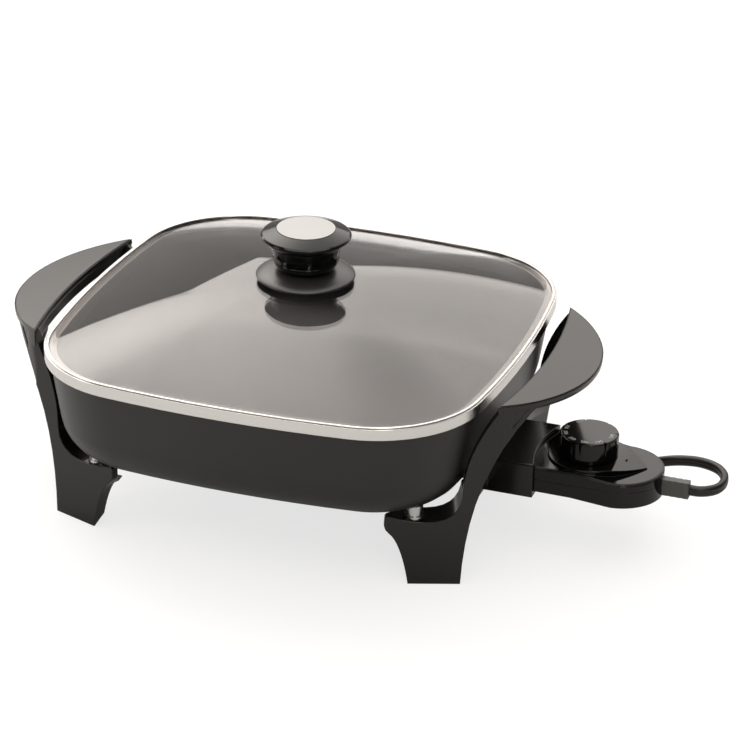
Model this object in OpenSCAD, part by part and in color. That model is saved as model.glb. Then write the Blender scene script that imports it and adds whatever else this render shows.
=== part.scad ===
// Electric skillet: bowed-square cast pan, glass lid, two moulded handle and leg
// pieces, and a plug-in heat control with its dial, probe and cord.
// +X points to the heat control, +Z up, the feet stand on z = 0.

/* [Pan] */
// Half width of the lid band across the middle of a side, the widest line of the vessel
vessel_half = 146; // [138:1:152]
// Radius of the four bowed sides
side_radius = 714; // [600:1:900]
// Radius of the four corners, at the lid band
corner_radius = 71.3; // [66:0.1:76]
// Height of the pan rim above the table
rim_height = 116.2; // [112:0.1:121]
// Height of the pan's flat underside above the table
pan_underside = 49.6; // [48.5:0.1:52]
// Inset of the pan's wall from the lid band, just under the rim
wall_inset = 3.2; // [2.6:0.1:3.6]
// Angle of the pan's wall from upright
wall_draft = 8.6; // [5:0.1:10]
// Radius between the wall and the underside
heel_radius = 29.6; // [24:0.1:34]
// Thickness of the cast wall
wall_thickness = 2.9; // [2.6:0.1:3.6]
// Thickness of the cast bottom
bottom_thickness = 5; // [4.4:0.1:5.6]

/* [Lid] */
// Height of the band's outer face
band_height = 7.1; // [6:0.1:8]
// Overlap of the band's outer face below the pan rim
band_overlap = 2.1; // [1.5:0.1:3]
// Thickness of the band's steel
band_sheet = 0.7; // [0.6:0.05:0.9]
// Depth of the band's inner skirt below the pan rim
skirt_depth = 7.7; // [6:0.1:10]
// Thickness of the lid glass
glass_thickness = 3.6; // [3:0.1:4.2]
// Rise of the glass from its edge to its middle
dome_rise = 27; // [24:0.5:29]

/* [Knob] */
// Radius of the knob's cap
cap_radius = 28.8; // [26:0.1:30]
// Radius of the knob's skirt
knob_skirt_radius = 31.4; // [29:0.1:34]
// Radius of the knob's neck
neck_radius = 21; // [18:0.1:23]
// Height of the knob above the glass
knob_height = 33.5; // [32:0.1:36]
// Radius of the badge disc
badge_radius = 18.4; // [15:0.1:20]
// Diameter of the knob screw
knob_screw_d = 5; // [4:0.5:6]

/* [Handles and legs] */
// Distance from the lid band to a grip's outer edge, at the middle of the side
grip_overhang = 46.5; // [44:0.5:50]
// Finger gap from the lid band to a grip's inner edge, at the middle of the side
finger_gap = 13.6; // [12:0.1:15]
// Distance from a grip's end back to the line of the vessel's side
grip_end_gap = 68; // [67:0.5:70]
// Height of a grip's inner edge, at its top face
grip_top = 118.6; // [117.5:0.1:119.5]
// Thickness of a grip
grip_thickness = 5; // [4.5:0.1:6]
// Fall of a grip from its inner to its outer edge, in degrees
grip_fall = 4.5; // [3:0.5:5.5]
// Turn of a leg's front face from the side of the pan
leg_turn = 20.1; // [16:0.1:24]
// Lean of a leg's front face towards the pan
leg_lean = 2.6; // [0:0.1:4]
// Depth of a leg from front to back
leg_depth = 22; // [20:0.5:24]
// Wall of the moulded legs
moulding_wall = 3.2; // [2.6:0.1:3.6]
// Distance from the line of the vessel's side in to a leg's outer toe
leg_set_in = 11.1; // [10:0.1:12.5]
// Distance from the line of the vessel's front in to a leg's outer toe
leg_set_back = 57; // [56:0.1:58]
// Diameter of the standoffs
standoff_d = 11; // [9:0.1:12]
// Height of the standoffs
standoff_height = 8.2; // [6:0.1:9]
// Height of the standoffs' seats on the leg shelves
seat_height = 42.5; // [42:0.1:43]
// Diameter of the leg screws
leg_screw_d = 4.8; // [4:0.1:5]

/* [Heat control] */
// Half width of the heat control
control_half = 28; // [26:0.5:30]
// Offset of the heat control from the pan's middle line
control_y = -2; // [-4:0.5:0]
// Length of the heat control, without its strain relief
control_length = 106.5; // [104:0.5:109]
// Distance from the line of the vessel's side in to the control's inner end
control_set_in = 14.5; // [14:0.1:15]
// Height of the control's bottom face
control_bottom = 41; // [40:0.1:41.5]
// Height of the line where the two housings part
parting_height = 48.8; // [48:0.1:50]
// Height of the control's flat top, inboard of the dial
control_top = 57.5; // [56:0.1:58.5]
// Height of the control's top at its outer end
control_end_top = 54.6; // [53:0.1:56]
// Height of the control's bottom face at its outer end
control_end_bottom = 38.2; // [37:0.1:40.5]
// Wall of the control's housings
housing_wall = 2.3; // [2:0.1:2.8]
// Wall of the sleeve on the right handle
sleeve_wall = 2.2; // [1.8:0.1:2.6]
// Length of the sleeve on the right handle
sleeve_length = 32.2; // [29:0.1:33]

/* [Dial] */
// Distance from the control's inner end to the dial's axis
dial_place = 57.9; // [56.5:0.1:58.5]
// Radius of the dial
dial_radius = 18.6; // [17:0.1:19]
// Height of the dial
dial_height = 14.3; // [12:0.1:16]
// Number of grip flutes round the dial
dial_flutes = 7; // [5:1:9]
// Diameter of the dial's shaft
dial_shaft_d = 6; // [5:0.1:7]

/* [Element, pins and probe] */
// Height of the element, the pins and the probe
terminal_height = 46; // [45.8:0.1:46.2]
// Diameter of the heating element's sheath
element_d = 6.6; // [6:0.1:6.8]
// Distance from the line of the vessel's side in to the heating element's loop
element_set_in = 68; // [64:1:76]
// Half the distance between the terminal pins
pin_offset = 19; // [17:0.5:20]
// Diameter of the terminal pins
pin_d = 4.4; // [4:0.1:4.6]
// Diameter of the temperature probe
probe_d = 6.2; // [5.5:0.1:6.6]
// Length of the probe from the control's inner end
probe_reach = 53.5; // [48:0.5:56]
// Running clearance of the pins and the probe
slip = 0.08; // [0.04:0.01:0.1]

/* [Cord] */
// Width of the flat cord
cord_width = 7; // [6:0.1:8]
// Radius of the coil, at the middle of its turns
coil_radius = 39; // [36:1:42]
// Length of the strain relief
relief_length = 17; // [16:0.5:24]
// Width of the strain relief
relief_width = 5.6; // [5:0.1:8]
// Height of the strain relief
relief_height = 10.8; // [9:0.1:12]

/* [Hidden] */

$fn = 64;
side_steps = 8;
corner_steps = 14;
eps = 0.01;
clearance = 0.3;

// Distances from the pan's centre that follow the size of the vessel.
grip_reach = vessel_half + grip_overhang;
grip_inner = vessel_half + finger_gap;
grip_half_length = vessel_half - grip_end_gap;
toe_x = vessel_half - leg_set_in;
toe_y = vessel_half - leg_set_back;
control_start = vessel_half - control_set_in;
control_reach = control_start + control_length;
sleeve_start = control_start - 1.3;
sleeve_end = sleeve_start + sleeve_length;
dial_x = control_start + dial_place;
probe_tip = control_start - probe_reach;
element_half = vessel_half - element_set_in;

// The pan's centre lies this far from the frame's origin, which is near the middle of
// the object's box from grip to control.
pan_x = (grip_reach - control_reach - 3) / 2;

// Bowed square: the corner arcs are tangent to the four side arcs.
side_shift = side_radius - vessel_half;
corner_gap = side_shift * side_shift - pow(side_radius - corner_radius, 2);
corner_centre = (-2 * side_shift + sqrt(4 * side_shift * side_shift - 8 * corner_gap)) / 4;
side_angle = atan2(corner_centre, corner_centre + side_shift);

function turned(p, a) = [p[0] * cos(a) - p[1] * sin(a), p[0] * sin(a) + p[1] * cos(a)];
function on_arc(c, r, a) = [c[0] + r * cos(a), c[1] + r * sin(a)];

// Outline of the bowed square, moved in by inset.
function bowed(inset) = [
  for (quarter = [0:3])
    for (i = [0:side_steps + corner_steps - 1])
      turned(
        i < side_steps
          ? on_arc([-side_shift, 0], side_radius - inset,
                   side_angle * (2 * i / side_steps - 1))
          : on_arc([corner_centre, corner_centre], corner_radius - inset,
                   side_angle + (90 - 2 * side_angle) * (i - side_steps) / corner_steps),
        90 * quarter)
];
outline_points = 4 * (side_steps + corner_steps);

// Closed solid through a stack of outlines, each [inset, height, scale].
module loft(levels) {
  n = outline_points;
  points = [
    for (level = levels)
      for (p = bowed(level[0])) [p[0] * level[2], p[1] * level[2], level[1]]
  ];
  sides = [
    for (i = [0:len(levels) - 2])
      for (j = [0:n - 1])
        let (k = (j + 1) % n)
          [i * n + j, (i + 1) * n + j, (i + 1) * n + k, i * n + k]
  ];
  first_cap = [for (j = [0:n - 1]) j];
  last_cap = [for (j = [n - 1:-1:0]) (len(levels) - 1) * n + j];
  polyhedron(points, concat([first_cap], sides, [last_cap]), convexity = 6);
}

// Ring between two insets of the bowed square.
module bowed_ring(outer_inset, inner_inset, z0, z1) {
  translate([0, 0, z0])
    linear_extrude(z1 - z0)
      difference() {
        polygon(bowed(outer_inset));
        polygon(bowed(inner_inset));
      }
}

function bezier(p, n) = [
  for (i = [0:n])
    let (t = i / n, s = 1 - t)
      s * s * s * p[0] + 3 * s * s * t * p[1] + 3 * s * t * t * p[2] + t * t * t * p[3]
];

// Closed outline with its points in counter-clockwise order, moved in by d.
function unit(v) = v / norm(v);
function inset_corner(a, b, c, d) =
  let (
    u = unit(b - a), v = unit(c - b),
    m = [-u[1] - v[1], u[0] + v[0]],
    k = 1 + u * v
  ) b + d * m / k;
function moved_in(p, d) = [
  for (i = [0:len(p) - 1])
    inset_corner(p[(i + len(p) - 1) % len(p)], p[i], p[(i + 1) % len(p)], d)
];

module at_pan() translate([pan_x, 0, 0]) children();
module at_control() translate([pan_x, control_y, 0]) children();
module each_leg() for (x = [0, 1], y = [0, 1]) mirror([x, 0, 0]) mirror([0, y, 0]) children();
module each_side() for (y = [0, 1]) mirror([0, y, 0]) children();
module along_x(x0, x1, y, z) translate([x0, y, z]) rotate([0, 90, 0]) linear_extrude(x1 - x0) children();

// ---------- pan ----------
heel_z = pan_underside + heel_radius;
heel_start_z = heel_z - heel_radius * sin(wall_draft);
heel_start_inset = wall_inset + (rim_height - heel_start_z) * tan(wall_draft);
heel_inset = heel_start_inset + heel_radius * cos(wall_draft);
floor_height = pan_underside + bottom_thickness;
inner_heel = heel_inset - heel_start_inset - wall_thickness;
inner_heel_z = floor_height + inner_heel;
rim_bead = 0.9;
arc_steps = 7;

pan_levels = concat(
  [[heel_inset, pan_underside, 1]],
  [for (i = [1:arc_steps])
    let (a = -90 + (90 - wall_draft) * i / arc_steps)
      [heel_inset - heel_radius * cos(a), heel_z + heel_radius * sin(a), 1]],
  [
    [wall_inset, rim_height - rim_bead, 1],
    [wall_inset + 0.3, rim_height - 0.25, 1],
    [wall_inset + rim_bead, rim_height, 1],
    [wall_inset + wall_thickness - rim_bead, rim_height, 1],
    [wall_inset + wall_thickness - 0.3, rim_height - 0.25, 1],
    [wall_inset + wall_thickness, rim_height - rim_bead, 1]
  ],
  [for (i = [0:arc_steps])
    let (a = -wall_draft - (90 - wall_draft) * i / arc_steps)
      [heel_inset - inner_heel * cos(a), inner_heel_z + inner_heel * sin(a), 1]]
);

// Standoff position in the leg's own frame and in the pan's frame.
standoff_along = -28.9;
standoff_deep = 9.5;
standoff_xy = [toe_x, -toe_y]
  + turned([standoff_along, standoff_deep], leg_turn);
pan_boss_bottom = seat_height + standoff_height;
boss_height = 2.6;
flange_radius = standoff_d / 2 + 0.9;
block_start = control_start - 39.5;
block_end = control_start - 3.5;
block_half = 27;
block_bottom = 40.8;
well_boss_radius = 5.6;
insulator_radius = 4.4;
insulator_start = control_start - 23.5;

module terminal_block() {
  rotate([90, 0, 0])
    translate([0, 0, -block_half])
      linear_extrude(2 * block_half)
        polygon([
          [block_start, block_bottom], [block_end, block_bottom],
          [block_end, pan_underside + 9.2], [block_end - 6, pan_underside + 4.8],
          [block_end - 16, pan_underside + 1.8], [block_start, pan_underside + 1.5]
        ]);
  along_x(probe_tip - 4, block_start + 1, 0, terminal_height) circle(well_boss_radius);
  translate([probe_tip - 4, -2, terminal_height])
    cube([block_start + 1 - probe_tip + 4, 4, pan_underside + 1 - terminal_height]);
}

module pan() color([0.13, 0.13, 0.13]) at_pan()
  difference() {
    union() {
      loft(pan_levels);
      each_leg()
        translate([standoff_xy[0], standoff_xy[1], pan_boss_bottom])
          cylinder(r = standoff_d / 2 - 0.4, h = boss_height);
      translate([0, control_y, 0]) terminal_block();
    }
    each_leg()
      translate([standoff_xy[0], standoff_xy[1], pan_boss_bottom]) {
        translate([0, 0, -1]) cylinder(d = leg_screw_d + 0.2, h = boss_height + 1.4);
        translate([0, 0, -3]) cylinder(d = standoff_d + 0.2, h = 3);
      }
    translate([0, control_y, 0]) {
      along_x(probe_tip - slip, block_end + 1, 0, terminal_height)
        circle(d = probe_d + 2 * slip);
      each_side() {
        along_x(insulator_start, block_end + 1, pin_offset, terminal_height)
          circle(insulator_radius + 0.05);
        along_x(block_start - 1, insulator_start + 1, pin_offset, terminal_height)
          circle(d = element_d + 0.4);
      }
    }
  }

// ---------- heating element ----------
element_corner = 30;
element_bend = 12;
element_exit = element_half + element_bend;
element_tube = element_d / 2;

module tube_run(p, q) {
  d = q - p;
  translate([p[0], p[1], terminal_height])
    rotate([0, 90, atan2(d[1], d[0])])
      cylinder(r = element_tube, h = norm(d));
}

module tube_bend(c, r, a0) {
  translate([c[0], c[1], terminal_height])
    rotate([0, 0, a0])
      rotate_extrude(angle = 90)
        translate([r, 0]) circle(element_tube);
}

module heating_element() color([0.35, 0.34, 0.33]) at_control() {
  straight = element_half - element_corner;
  bend_y = pin_offset + element_bend;
  each_side() {
    tube_run([element_exit, pin_offset], [insulator_start - 6, pin_offset]);
    tube_bend([element_exit, bend_y], element_bend, 180);
    tube_run([element_half, bend_y], [element_half, straight]);
    tube_bend([straight, straight], element_corner, 0);
    tube_run([straight, element_half], [-straight, element_half]);
    tube_bend([-straight, straight], element_corner, 90);
    tube_run([-element_half, straight], [-element_half, -eps]);
  }
}

pin_end = control_start + 18.5;
module terminal_pins() color([0.75, 0.75, 0.74]) at_control()
  each_side() {
    along_x(insulator_start - 6, pin_end - 2, pin_offset, terminal_height) circle(d = pin_d);
    translate([pin_end - 2, pin_offset, terminal_height])
      rotate([0, 90, 0]) cylinder(d1 = pin_d, d2 = pin_d - 2, h = 2);
  }

module terminal_insulators() color([0.9, 0.88, 0.82]) at_control()
  each_side()
    along_x(insulator_start, block_end + 1.5, pin_offset, terminal_height)
      difference() {
        circle(insulator_radius);
        circle(d = pin_d + 0.02);
      }

// ---------- handles ----------
leg_curve_steps = 10;
shelf_end = -46;
toe_start = -32.3;
leg_inner = bezier([
  [22.8, grip_top - 1], [12, 0.87 * grip_top], [1, 0.708 * grip_top], [0.2, 62]
], leg_curve_steps);
function leg_edge(nose, under) = concat(
  [[0, -2], [0, 0]],
  [for (i = [1:leg_curve_steps])
    bezier([[0, 0], [2, 0.38 * grip_top], [14, 0.776 * grip_top], [50.7, grip_top + 1.5]],
           leg_curve_steps)[i]],
  leg_inner,
  [for (i = [1:leg_curve_steps])
    bezier([[0.2, 62], [0, 44.5], [-13, 36], [shelf_end, 45.6]], leg_curve_steps)[i]],
  nose,
  [for (i = [0:leg_curve_steps])
    bezier([under, [-38.5, 29], [-34.4, 14], [toe_start, 0]], leg_curve_steps)[i]],
  [[toe_start, -2]]
);
leg_outline = leg_edge(
  [[shelf_end - 1, 44.4], [shelf_end - 1.4, 39], [shelf_end - 0.4, 36.2]],
  [shelf_end + 2, 33.6]
);
leg_hollow = moved_in(leg_edge([], [shelf_end - 1.2, 36]), moulding_wall);
shelf_wall = 4;
screw_head_r = 4.4;
screw_head_h = 3;
toe_return = 8;
shelf_return = 5;
flare_start = 88;
flare_depth = 28;
lip_depth = 5.5;
open_start = 64;

// One leg in its own frame: X along its front face, Y into its depth.
module leg_block(depth) {
  translate([0, depth, 0])
    rotate([90, 0, 0]) linear_extrude(depth) polygon(leg_outline);
}

module leg_channel(depth) {
  difference() {
    leg_block(depth);
    translate([0, depth + 1, 0])
      rotate([90, 0, 0])
        linear_extrude(depth + 1 - moulding_wall) polygon(leg_hollow);
  }
}

// Behind the toe and the shelf's end the leg is cut back to a narrow return.
module leg_relief() {
  translate([shelf_end - 20, toe_return, -5]) cube([-shelf_end + 12, leg_depth, 36]);
  translate([shelf_end - 20, 0, 0])
    rotate([90, 0, 90])
      linear_extrude(-shelf_end + 12)
        polygon([[0.6, -5], [0.6, 0], [toe_return + 4, toe_return + 3], [toe_return + 4, -5]]);
  translate([shelf_end, 0, -5])
    linear_extrude(70)
      polygon([
        [-4, shelf_return], [0, shelf_return], [2.4, shelf_return + 3],
        [8.5, leg_depth - 0.5], [8.5, leg_depth + 4], [-4, leg_depth + 4]
      ]);
}

// Space of the pan and the lid band, with a gap all round.
pan_gap = 0.8;
module pan_space()
  loft(concat(
    [[heel_inset, pan_underside - pan_gap, 1]],
    [for (i = [1:arc_steps])
      let (a = -90 + (90 - wall_draft) * i / arc_steps)
        [heel_inset - (heel_radius + pan_gap) * cos(a),
         heel_z + (heel_radius + pan_gap) * sin(a), 1]],
    [
      [wall_inset - pan_gap + band_overlap * tan(wall_draft), band_bottom - pan_gap, 1],
      [-pan_gap, band_bottom - pan_gap, 1],
      [-pan_gap, grip_top + 20, 1]
    ]
  ));

// Behind its front wall the leg's upper part is open towards the pan.
module open_side() {
  translate([0, leg_depth + 1, 0])
    rotate([90, 0, 0])
      linear_extrude(leg_depth + 1 - lip_depth)
        polygon(concat(
          [leg_inner[0] + [moulding_wall + 1.5, 8], leg_inner[0] + [-4, 8]],
          [for (p = leg_inner) p + [-4, 0]],
          [for (i = [leg_curve_steps:-1:0]) leg_inner[i] + [moulding_wall + 1.5, 0]]
        ));
}

module leg_shell() {
  rotate([-leg_lean, 0, 0])
    difference() {
      leg_channel(leg_depth);
      leg_relief();
      open_side();
    }
}

// Room for the fingers, between the pan and the grip's inner edge.
module finger_room() {
  half = grip_half_length - 7;
  arc = [for (p = grip_inner_arc) if (abs(p[1]) < half) p];
  translate([0, 0, open_start])
    linear_extrude(grip_top)
      polygon(concat([[60, half], [60, -half], [grip_tip_x + 0.6, -half]],
                     [for (i = [len(arc) - 1:-1:0]) arc[i] + [0.35, 0]],
                     [[grip_tip_x + 0.6, half]]));
}

// The leg flares into the grip's underside, behind the grip's outer edge.
module leg_flare() {
  intersection() {
    leg_placed()
      rotate([-leg_lean, 0, 0]) leg_block(flare_depth);
    translate([0, 0, flare_start])
      linear_extrude(grip_top) polygon(moved_in(grip_outline, edge_round));
  }
}

module leg_placed() translate([toe_x, -toe_y, 0]) rotate([0, 0, leg_turn]) children();

// Room that a leg may fill: under the grip's top face, and inside its outer edge.
module leg_limit() {
  intersection() {
    linear_extrude(2 * grip_top)
      polygon(concat(
        [[60, 5], [60, -toe_y - 40], [grip_tip_x - 45, -toe_y - 40],
         [grip_tip_x + 1, -toe_y - 6]],
        [for (i = [grip_curve_steps:-1:0])
          [grip_outer[i][0] - edge_round / 2, -grip_outer[i][1]]],
        [[grip_reach - edge_round / 2, 5]]
      ));
    translate([grip_inner, 0, grip_top - edge_round / 2])
      rotate([0, grip_fall, 0])
        translate([-2 * grip_inner, -grip_inner, -2 * grip_top])
          cube([4 * grip_inner, 2 * grip_inner, 2 * grip_top]);
  }
}

module leg() {
  difference() {
    union() {
      intersection() {
        union() {
          leg_placed() leg_shell();
          leg_flare();
        }
        leg_limit();
      }
      translate([standoff_xy[0], standoff_xy[1], seat_height - shelf_wall])
        cylinder(r = flange_radius, h = shelf_wall);
    }
    pan_space();
    finger_room();
    translate([standoff_xy[0], standoff_xy[1], seat_height])
      cylinder(r = flange_radius + clearance, h = standoff_height);
    translate([standoff_xy[0], standoff_xy[1], seat_height - shelf_wall - 1])
      cylinder(d = leg_screw_d + 0.4, h = shelf_wall + 2);
    translate([standoff_xy[0], standoff_xy[1], seat_height - shelf_wall - screw_head_h - 1])
      cylinder(r = screw_head_r + 0.4, h = screw_head_h + 1);
  }
}

grip_tip_x = grip_inner - 7.6;
grip_curve_steps = 14;
grip_outer = bezier([
  [grip_reach, 0], [grip_reach, 0.41 * grip_half_length],
  [grip_reach - 16.5, 0.78 * grip_half_length], [grip_tip_x, grip_half_length]
], grip_curve_steps);
grip_bow = grip_inner - grip_tip_x;
grip_inner_radius = (grip_half_length * grip_half_length + grip_bow * grip_bow)
  / (2 * grip_bow);
grip_inner_angle = asin(grip_half_length / grip_inner_radius);
grip_inner_arc = [
  for (i = [1:grip_curve_steps - 1])
    on_arc([grip_inner - grip_inner_radius, 0], grip_inner_radius,
           grip_inner_angle * (1 - 2 * i / grip_curve_steps))
];
grip_outline = concat(
  [for (i = [grip_curve_steps:-1:1]) [grip_outer[i][0], -grip_outer[i][1]]],
  grip_outer,
  grip_inner_arc
);
edge_round = 0.6;
wall_drop = 11;

// Grip: a crescent plate with softened edges, falling to its outer edge.
module grip() {
  translate([grip_inner, 0, grip_top])
    rotate([0, grip_fall, 0])
      translate([-grip_inner, 0, -grip_thickness])
        for (step = [[0, 1.2, grip_thickness - edge_round],
                     [edge_round, 0, grip_thickness]])
          translate([0, 0, step[1]])
            linear_extrude(step[2] - step[1]) polygon(moved_in(grip_outline, step[0]));
}

// Wall under the grip's inner edge, from leg to leg.
module grip_wall() {
  face = concat([[grip_tip_x, grip_half_length]], grip_inner_arc,
                [[grip_tip_x, -grip_half_length]]);
  translate([0, 0, grip_top - wall_drop])
    linear_extrude(wall_drop - 1)
      intersection() {
        polygon(concat(
          face, [for (i = [len(face) - 1:-1:0]) face[i] + [moulding_wall, 0]]
        ));
        polygon(moved_in(grip_outline, 0.1));
      }
}

module handle_body() {
  grip();
  grip_wall();
  each_side() leg();
}

module left_handle() color([0.1, 0.1, 0.1]) at_pan() mirror([1, 0, 0]) handle_body();

module x_prism(x0, x1) translate([x0, 0, 0]) rotate([90, 0, 90]) linear_extrude(x1 - x0) children();

sleeve_gap = 0.4;
sleeve_hollow = 4.4;
web_thickness = 3;
web_top = 56;
web_end = toe_y - 17;

// Rectangle with its lower edge at bottom and its top corners rounded by r.
module round_topped(half, bottom, top, r) {
  translate([-half, bottom]) square([2 * half, top - bottom - r]);
  translate([-half + r, bottom]) square([2 * (half - r), top - bottom]);
  for (s = [-1, 1]) translate([s * (half - r), top - r]) circle(r);
}

module sleeve() translate([0, control_y, 0])
  difference() {
    union() {
      x_prism(sleeve_start, sleeve_end)
        round_topped(control_half + sleeve_gap + sleeve_wall,
                     control_bottom - sleeve_gap - 1.5 * sleeve_wall,
                     control_top + sleeve_gap + sleeve_wall, 2);
      each_side()
        translate([sleeve_start, control_half, block_bottom])
          cube([web_thickness, web_end - control_half, web_top - block_bottom]);
    }
    x_prism(sleeve_start - 1, sleeve_end + 1)
      round_topped(control_half + sleeve_gap, control_bottom - sleeve_gap,
                   control_top + sleeve_gap, 0.6);
    translate([sleeve_end - sleeve_hollow + sleeve_scoop, 0, control_top - 4])
      cylinder(r = sleeve_scoop, h = 20, $fn = 180);
  }
sleeve_scoop = (pow(control_half, 2) + pow(sleeve_hollow, 2)) / (2 * sleeve_hollow);

module right_handle() color([0.1, 0.1, 0.1]) at_pan() {
  handle_body();
  sleeve();
}

module leg_standoffs() color([0.8, 0.8, 0.8]) at_pan()
  each_leg()
    translate([standoff_xy[0], standoff_xy[1], seat_height])
      difference() {
        union() {
          cylinder(d = standoff_d, h = standoff_height);
          cylinder(r = flange_radius, h = 1.6);
        }
        translate([0, 0, -1]) cylinder(d = leg_screw_d + 0.3, h = standoff_height + 2);
      }

module leg_screws() color([0.6, 0.6, 0.6]) at_pan()
  each_leg()
    translate([standoff_xy[0], standoff_xy[1], seat_height - shelf_wall]) {
      translate([0, 0, -screw_head_h])
        difference() {
          cylinder(r = screw_head_r, h = screw_head_h);
          translate([0, 0, -1]) cylinder(d = 3.2, h = 2.6, $fn = 6);
        }
      cylinder(d = leg_screw_d, h = shelf_wall + standoff_height + boss_height);
    }

// ---------- lid ----------
band_bottom = rim_height - band_overlap;
band_top = band_bottom + band_height;
web_z = rim_height + clearance;
skirt_inset = wall_inset + wall_thickness + skirt_depth * tan(wall_draft) + clearance;
hem_sheet = 0.6;
hem_outer = 1.3;
hem_inner = 2.9;
glass_edge_inset = hem_outer + hem_sheet + 0.05;
glass_edge_z = web_z + band_sheet + 0.05;
hem_bottom = glass_edge_z + glass_thickness + 0.05;
hem_top = band_top + 0.7;
groove_bottom = band_top - 1.4;
glass_top = glass_edge_z + glass_thickness + dome_rise;

dome_power = 1.8;
seat_scale = 0.08;
flat_scale = 0.985;
function dome(f) = 1 - pow(min(1, (f - seat_scale) / (flat_scale - seat_scale)), dome_power);
glass_edge_round = 0.5;
edge_scale = [1, flat_scale, 0.93, 0.84, 0.72, 0.58, 0.42, 0.24, seat_scale];

glass_levels = concat(
  [for (i = [len(edge_scale) - 1:-1:0])
    let (f = edge_scale[i])
      [glass_edge_inset + (i == 0 ? glass_edge_round : 0),
       glass_edge_z + dome_rise * dome(f), f]],
  [[glass_edge_inset, glass_edge_z + glass_edge_round, 1],
   [glass_edge_inset, glass_edge_z + glass_thickness - glass_edge_round, 1]],
  [for (i = [0:len(edge_scale) - 1])
    let (f = edge_scale[i])
      [glass_edge_inset + (i == 0 ? glass_edge_round : 0),
       glass_edge_z + glass_thickness + dome_rise * dome(f), f]]
);

module lid_glass() color([0.75, 0.78, 0.78, 0.4]) at_pan()
  difference() {
    loft(glass_levels);
    translate([0, 0, glass_edge_z]) cylinder(d = knob_screw_d + 3, h = glass_top);
  }

module lid_band() color([0.82, 0.82, 0.82]) at_pan() {
  bowed_ring(0, band_sheet, band_bottom, band_top);
  bowed_ring(band_sheet - eps, skirt_inset + band_sheet, web_z, web_z + band_sheet);
  bowed_ring(skirt_inset, skirt_inset + band_sheet, rim_height - skirt_depth, web_z + eps);
  bowed_ring(band_sheet - eps, hem_outer + eps, groove_bottom, groove_bottom + 0.5);
  bowed_ring(hem_outer, hem_outer + hem_sheet, groove_bottom, hem_top);
  bowed_ring(hem_outer + hem_sheet - eps, hem_inner, hem_bottom, hem_top);
}

// ---------- knob ----------
seat_gasket = 0.8;
knob_base = glass_top + seat_gasket;
knob_top = glass_top + knob_height;
skirt_level = knob_base + 1.2;
seam_level = skirt_level + 4.6;
insert_radius = 4.5;
insert_length = seam_level - knob_base + 6;

module knob_skirt() color([0.06, 0.06, 0.06]) at_pan()
  rotate_extrude($fn = 96)
    polygon([
      [insert_radius + 0.2, knob_base], [12.4, knob_base], [13.2, knob_base + 0.5],
      [knob_skirt_radius - 1.6, skirt_level - 0.7], [knob_skirt_radius - 0.5, skirt_level - 0.6],
      [knob_skirt_radius, skirt_level], [knob_skirt_radius, skirt_level + 0.5],
      [knob_skirt_radius - 0.6, skirt_level + 1.1], [16, seam_level - 0.3],
      [14.6, seam_level - 0.2], [13.8, seam_level - 0.5], [13.8, seam_level],
      [insert_radius + 0.2, seam_level]
    ]);

module knob_grip() color([0.06, 0.06, 0.06]) at_pan()
  difference() {
    rotate_extrude($fn = 96)
      polygon([
        [0, seam_level], [15.4, seam_level], [17.8, seam_level + 1.4],
        [19.6, seam_level + 3], [neck_radius - 0.4, seam_level + 5],
        [neck_radius, seam_level + 6.2], [neck_radius - 0.5, seam_level + 6.6],
        [neck_radius, seam_level + 7], [neck_radius, seam_level + 10],
        [neck_radius + 1, knob_top - 13.4], [neck_radius + 3, knob_top - 9.6],
        [cap_radius - 1.2, knob_top - 6.4], [cap_radius, knob_top - 5],
        [cap_radius - 0.2, knob_top - 4.2], [cap_radius - 1.4, knob_top - 3.2],
        [badge_radius + 0.4, knob_top - 0.4], [0, knob_top - 0.4]
      ]);
    translate([0, 0, knob_top - 1.2]) cylinder(r = badge_radius + 0.1, h = 3, $fn = 96);
    translate([0, 0, seam_level - 1]) cylinder(r = insert_radius + 0.03, h = 8);
  }

module knob_badge() color([0.9, 0.9, 0.9]) at_pan()
  translate([0, 0, knob_top - 1.2]) cylinder(r = badge_radius, h = 1.2, $fn = 96);

module knob_insert() color([0.75, 0.6, 0.3]) at_pan()
  translate([0, 0, knob_base])
    difference() {
      cylinder(r = insert_radius, h = insert_length);
      translate([0, 0, -1]) cylinder(d = knob_screw_d + 0.1, h = insert_length);
    }

washer_radius = 11;
module knob_screw() color([0.7, 0.7, 0.7]) at_pan() {
  head_z = glass_top - glass_thickness - seat_gasket - 1.2;
  translate([0, 0, head_z - 2.8])
    difference() {
      cylinder(r = 5, h = 2.8);
      translate([0, 0, -1]) cylinder(d = 4, h = 2.6, $fn = 6);
    }
  translate([0, 0, head_z]) cylinder(d = knob_screw_d, h = knob_base + 10 - head_z);
}

module knob_washer() color([0.7, 0.7, 0.7]) at_pan()
  translate([0, 0, glass_top - glass_thickness - seat_gasket - 1.2])
    difference() {
      cylinder(r = washer_radius, h = 1.2);
      translate([0, 0, -1]) cylinder(d = knob_screw_d + 0.4, h = 4);
    }

module knob_gaskets() color([0.3, 0.3, 0.3]) at_pan()
  for (z = [glass_top, glass_top - glass_thickness - seat_gasket])
    translate([0, 0, z])
      difference() {
        cylinder(r = washer_radius, h = seat_gasket);
        translate([0, 0, -1]) cylinder(d = knob_screw_d + 0.4, h = 4);
      }

// ---------- heat control ----------
end_centre = control_reach - control_half;
parting_gap = 0.2;
base_floor = 1.5;
pad_radius = 25;
pad_height = control_top + 1.4;
pad_tip = control_reach - 10.5;
roof = parting_height + 2.8;
slope_start = dial_x - 2.4;
slope_end = control_reach - 28;
belly_start = dial_x - 3.4;
belly_end = control_reach - 26;

module control_plan(inset) {
  translate([control_start + inset, -control_half + inset])
    square([end_centre - control_start - inset, 2 * (control_half - inset)]);
  translate([end_centre, 0]) circle(control_half - inset, $fn = 96);
}

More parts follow.
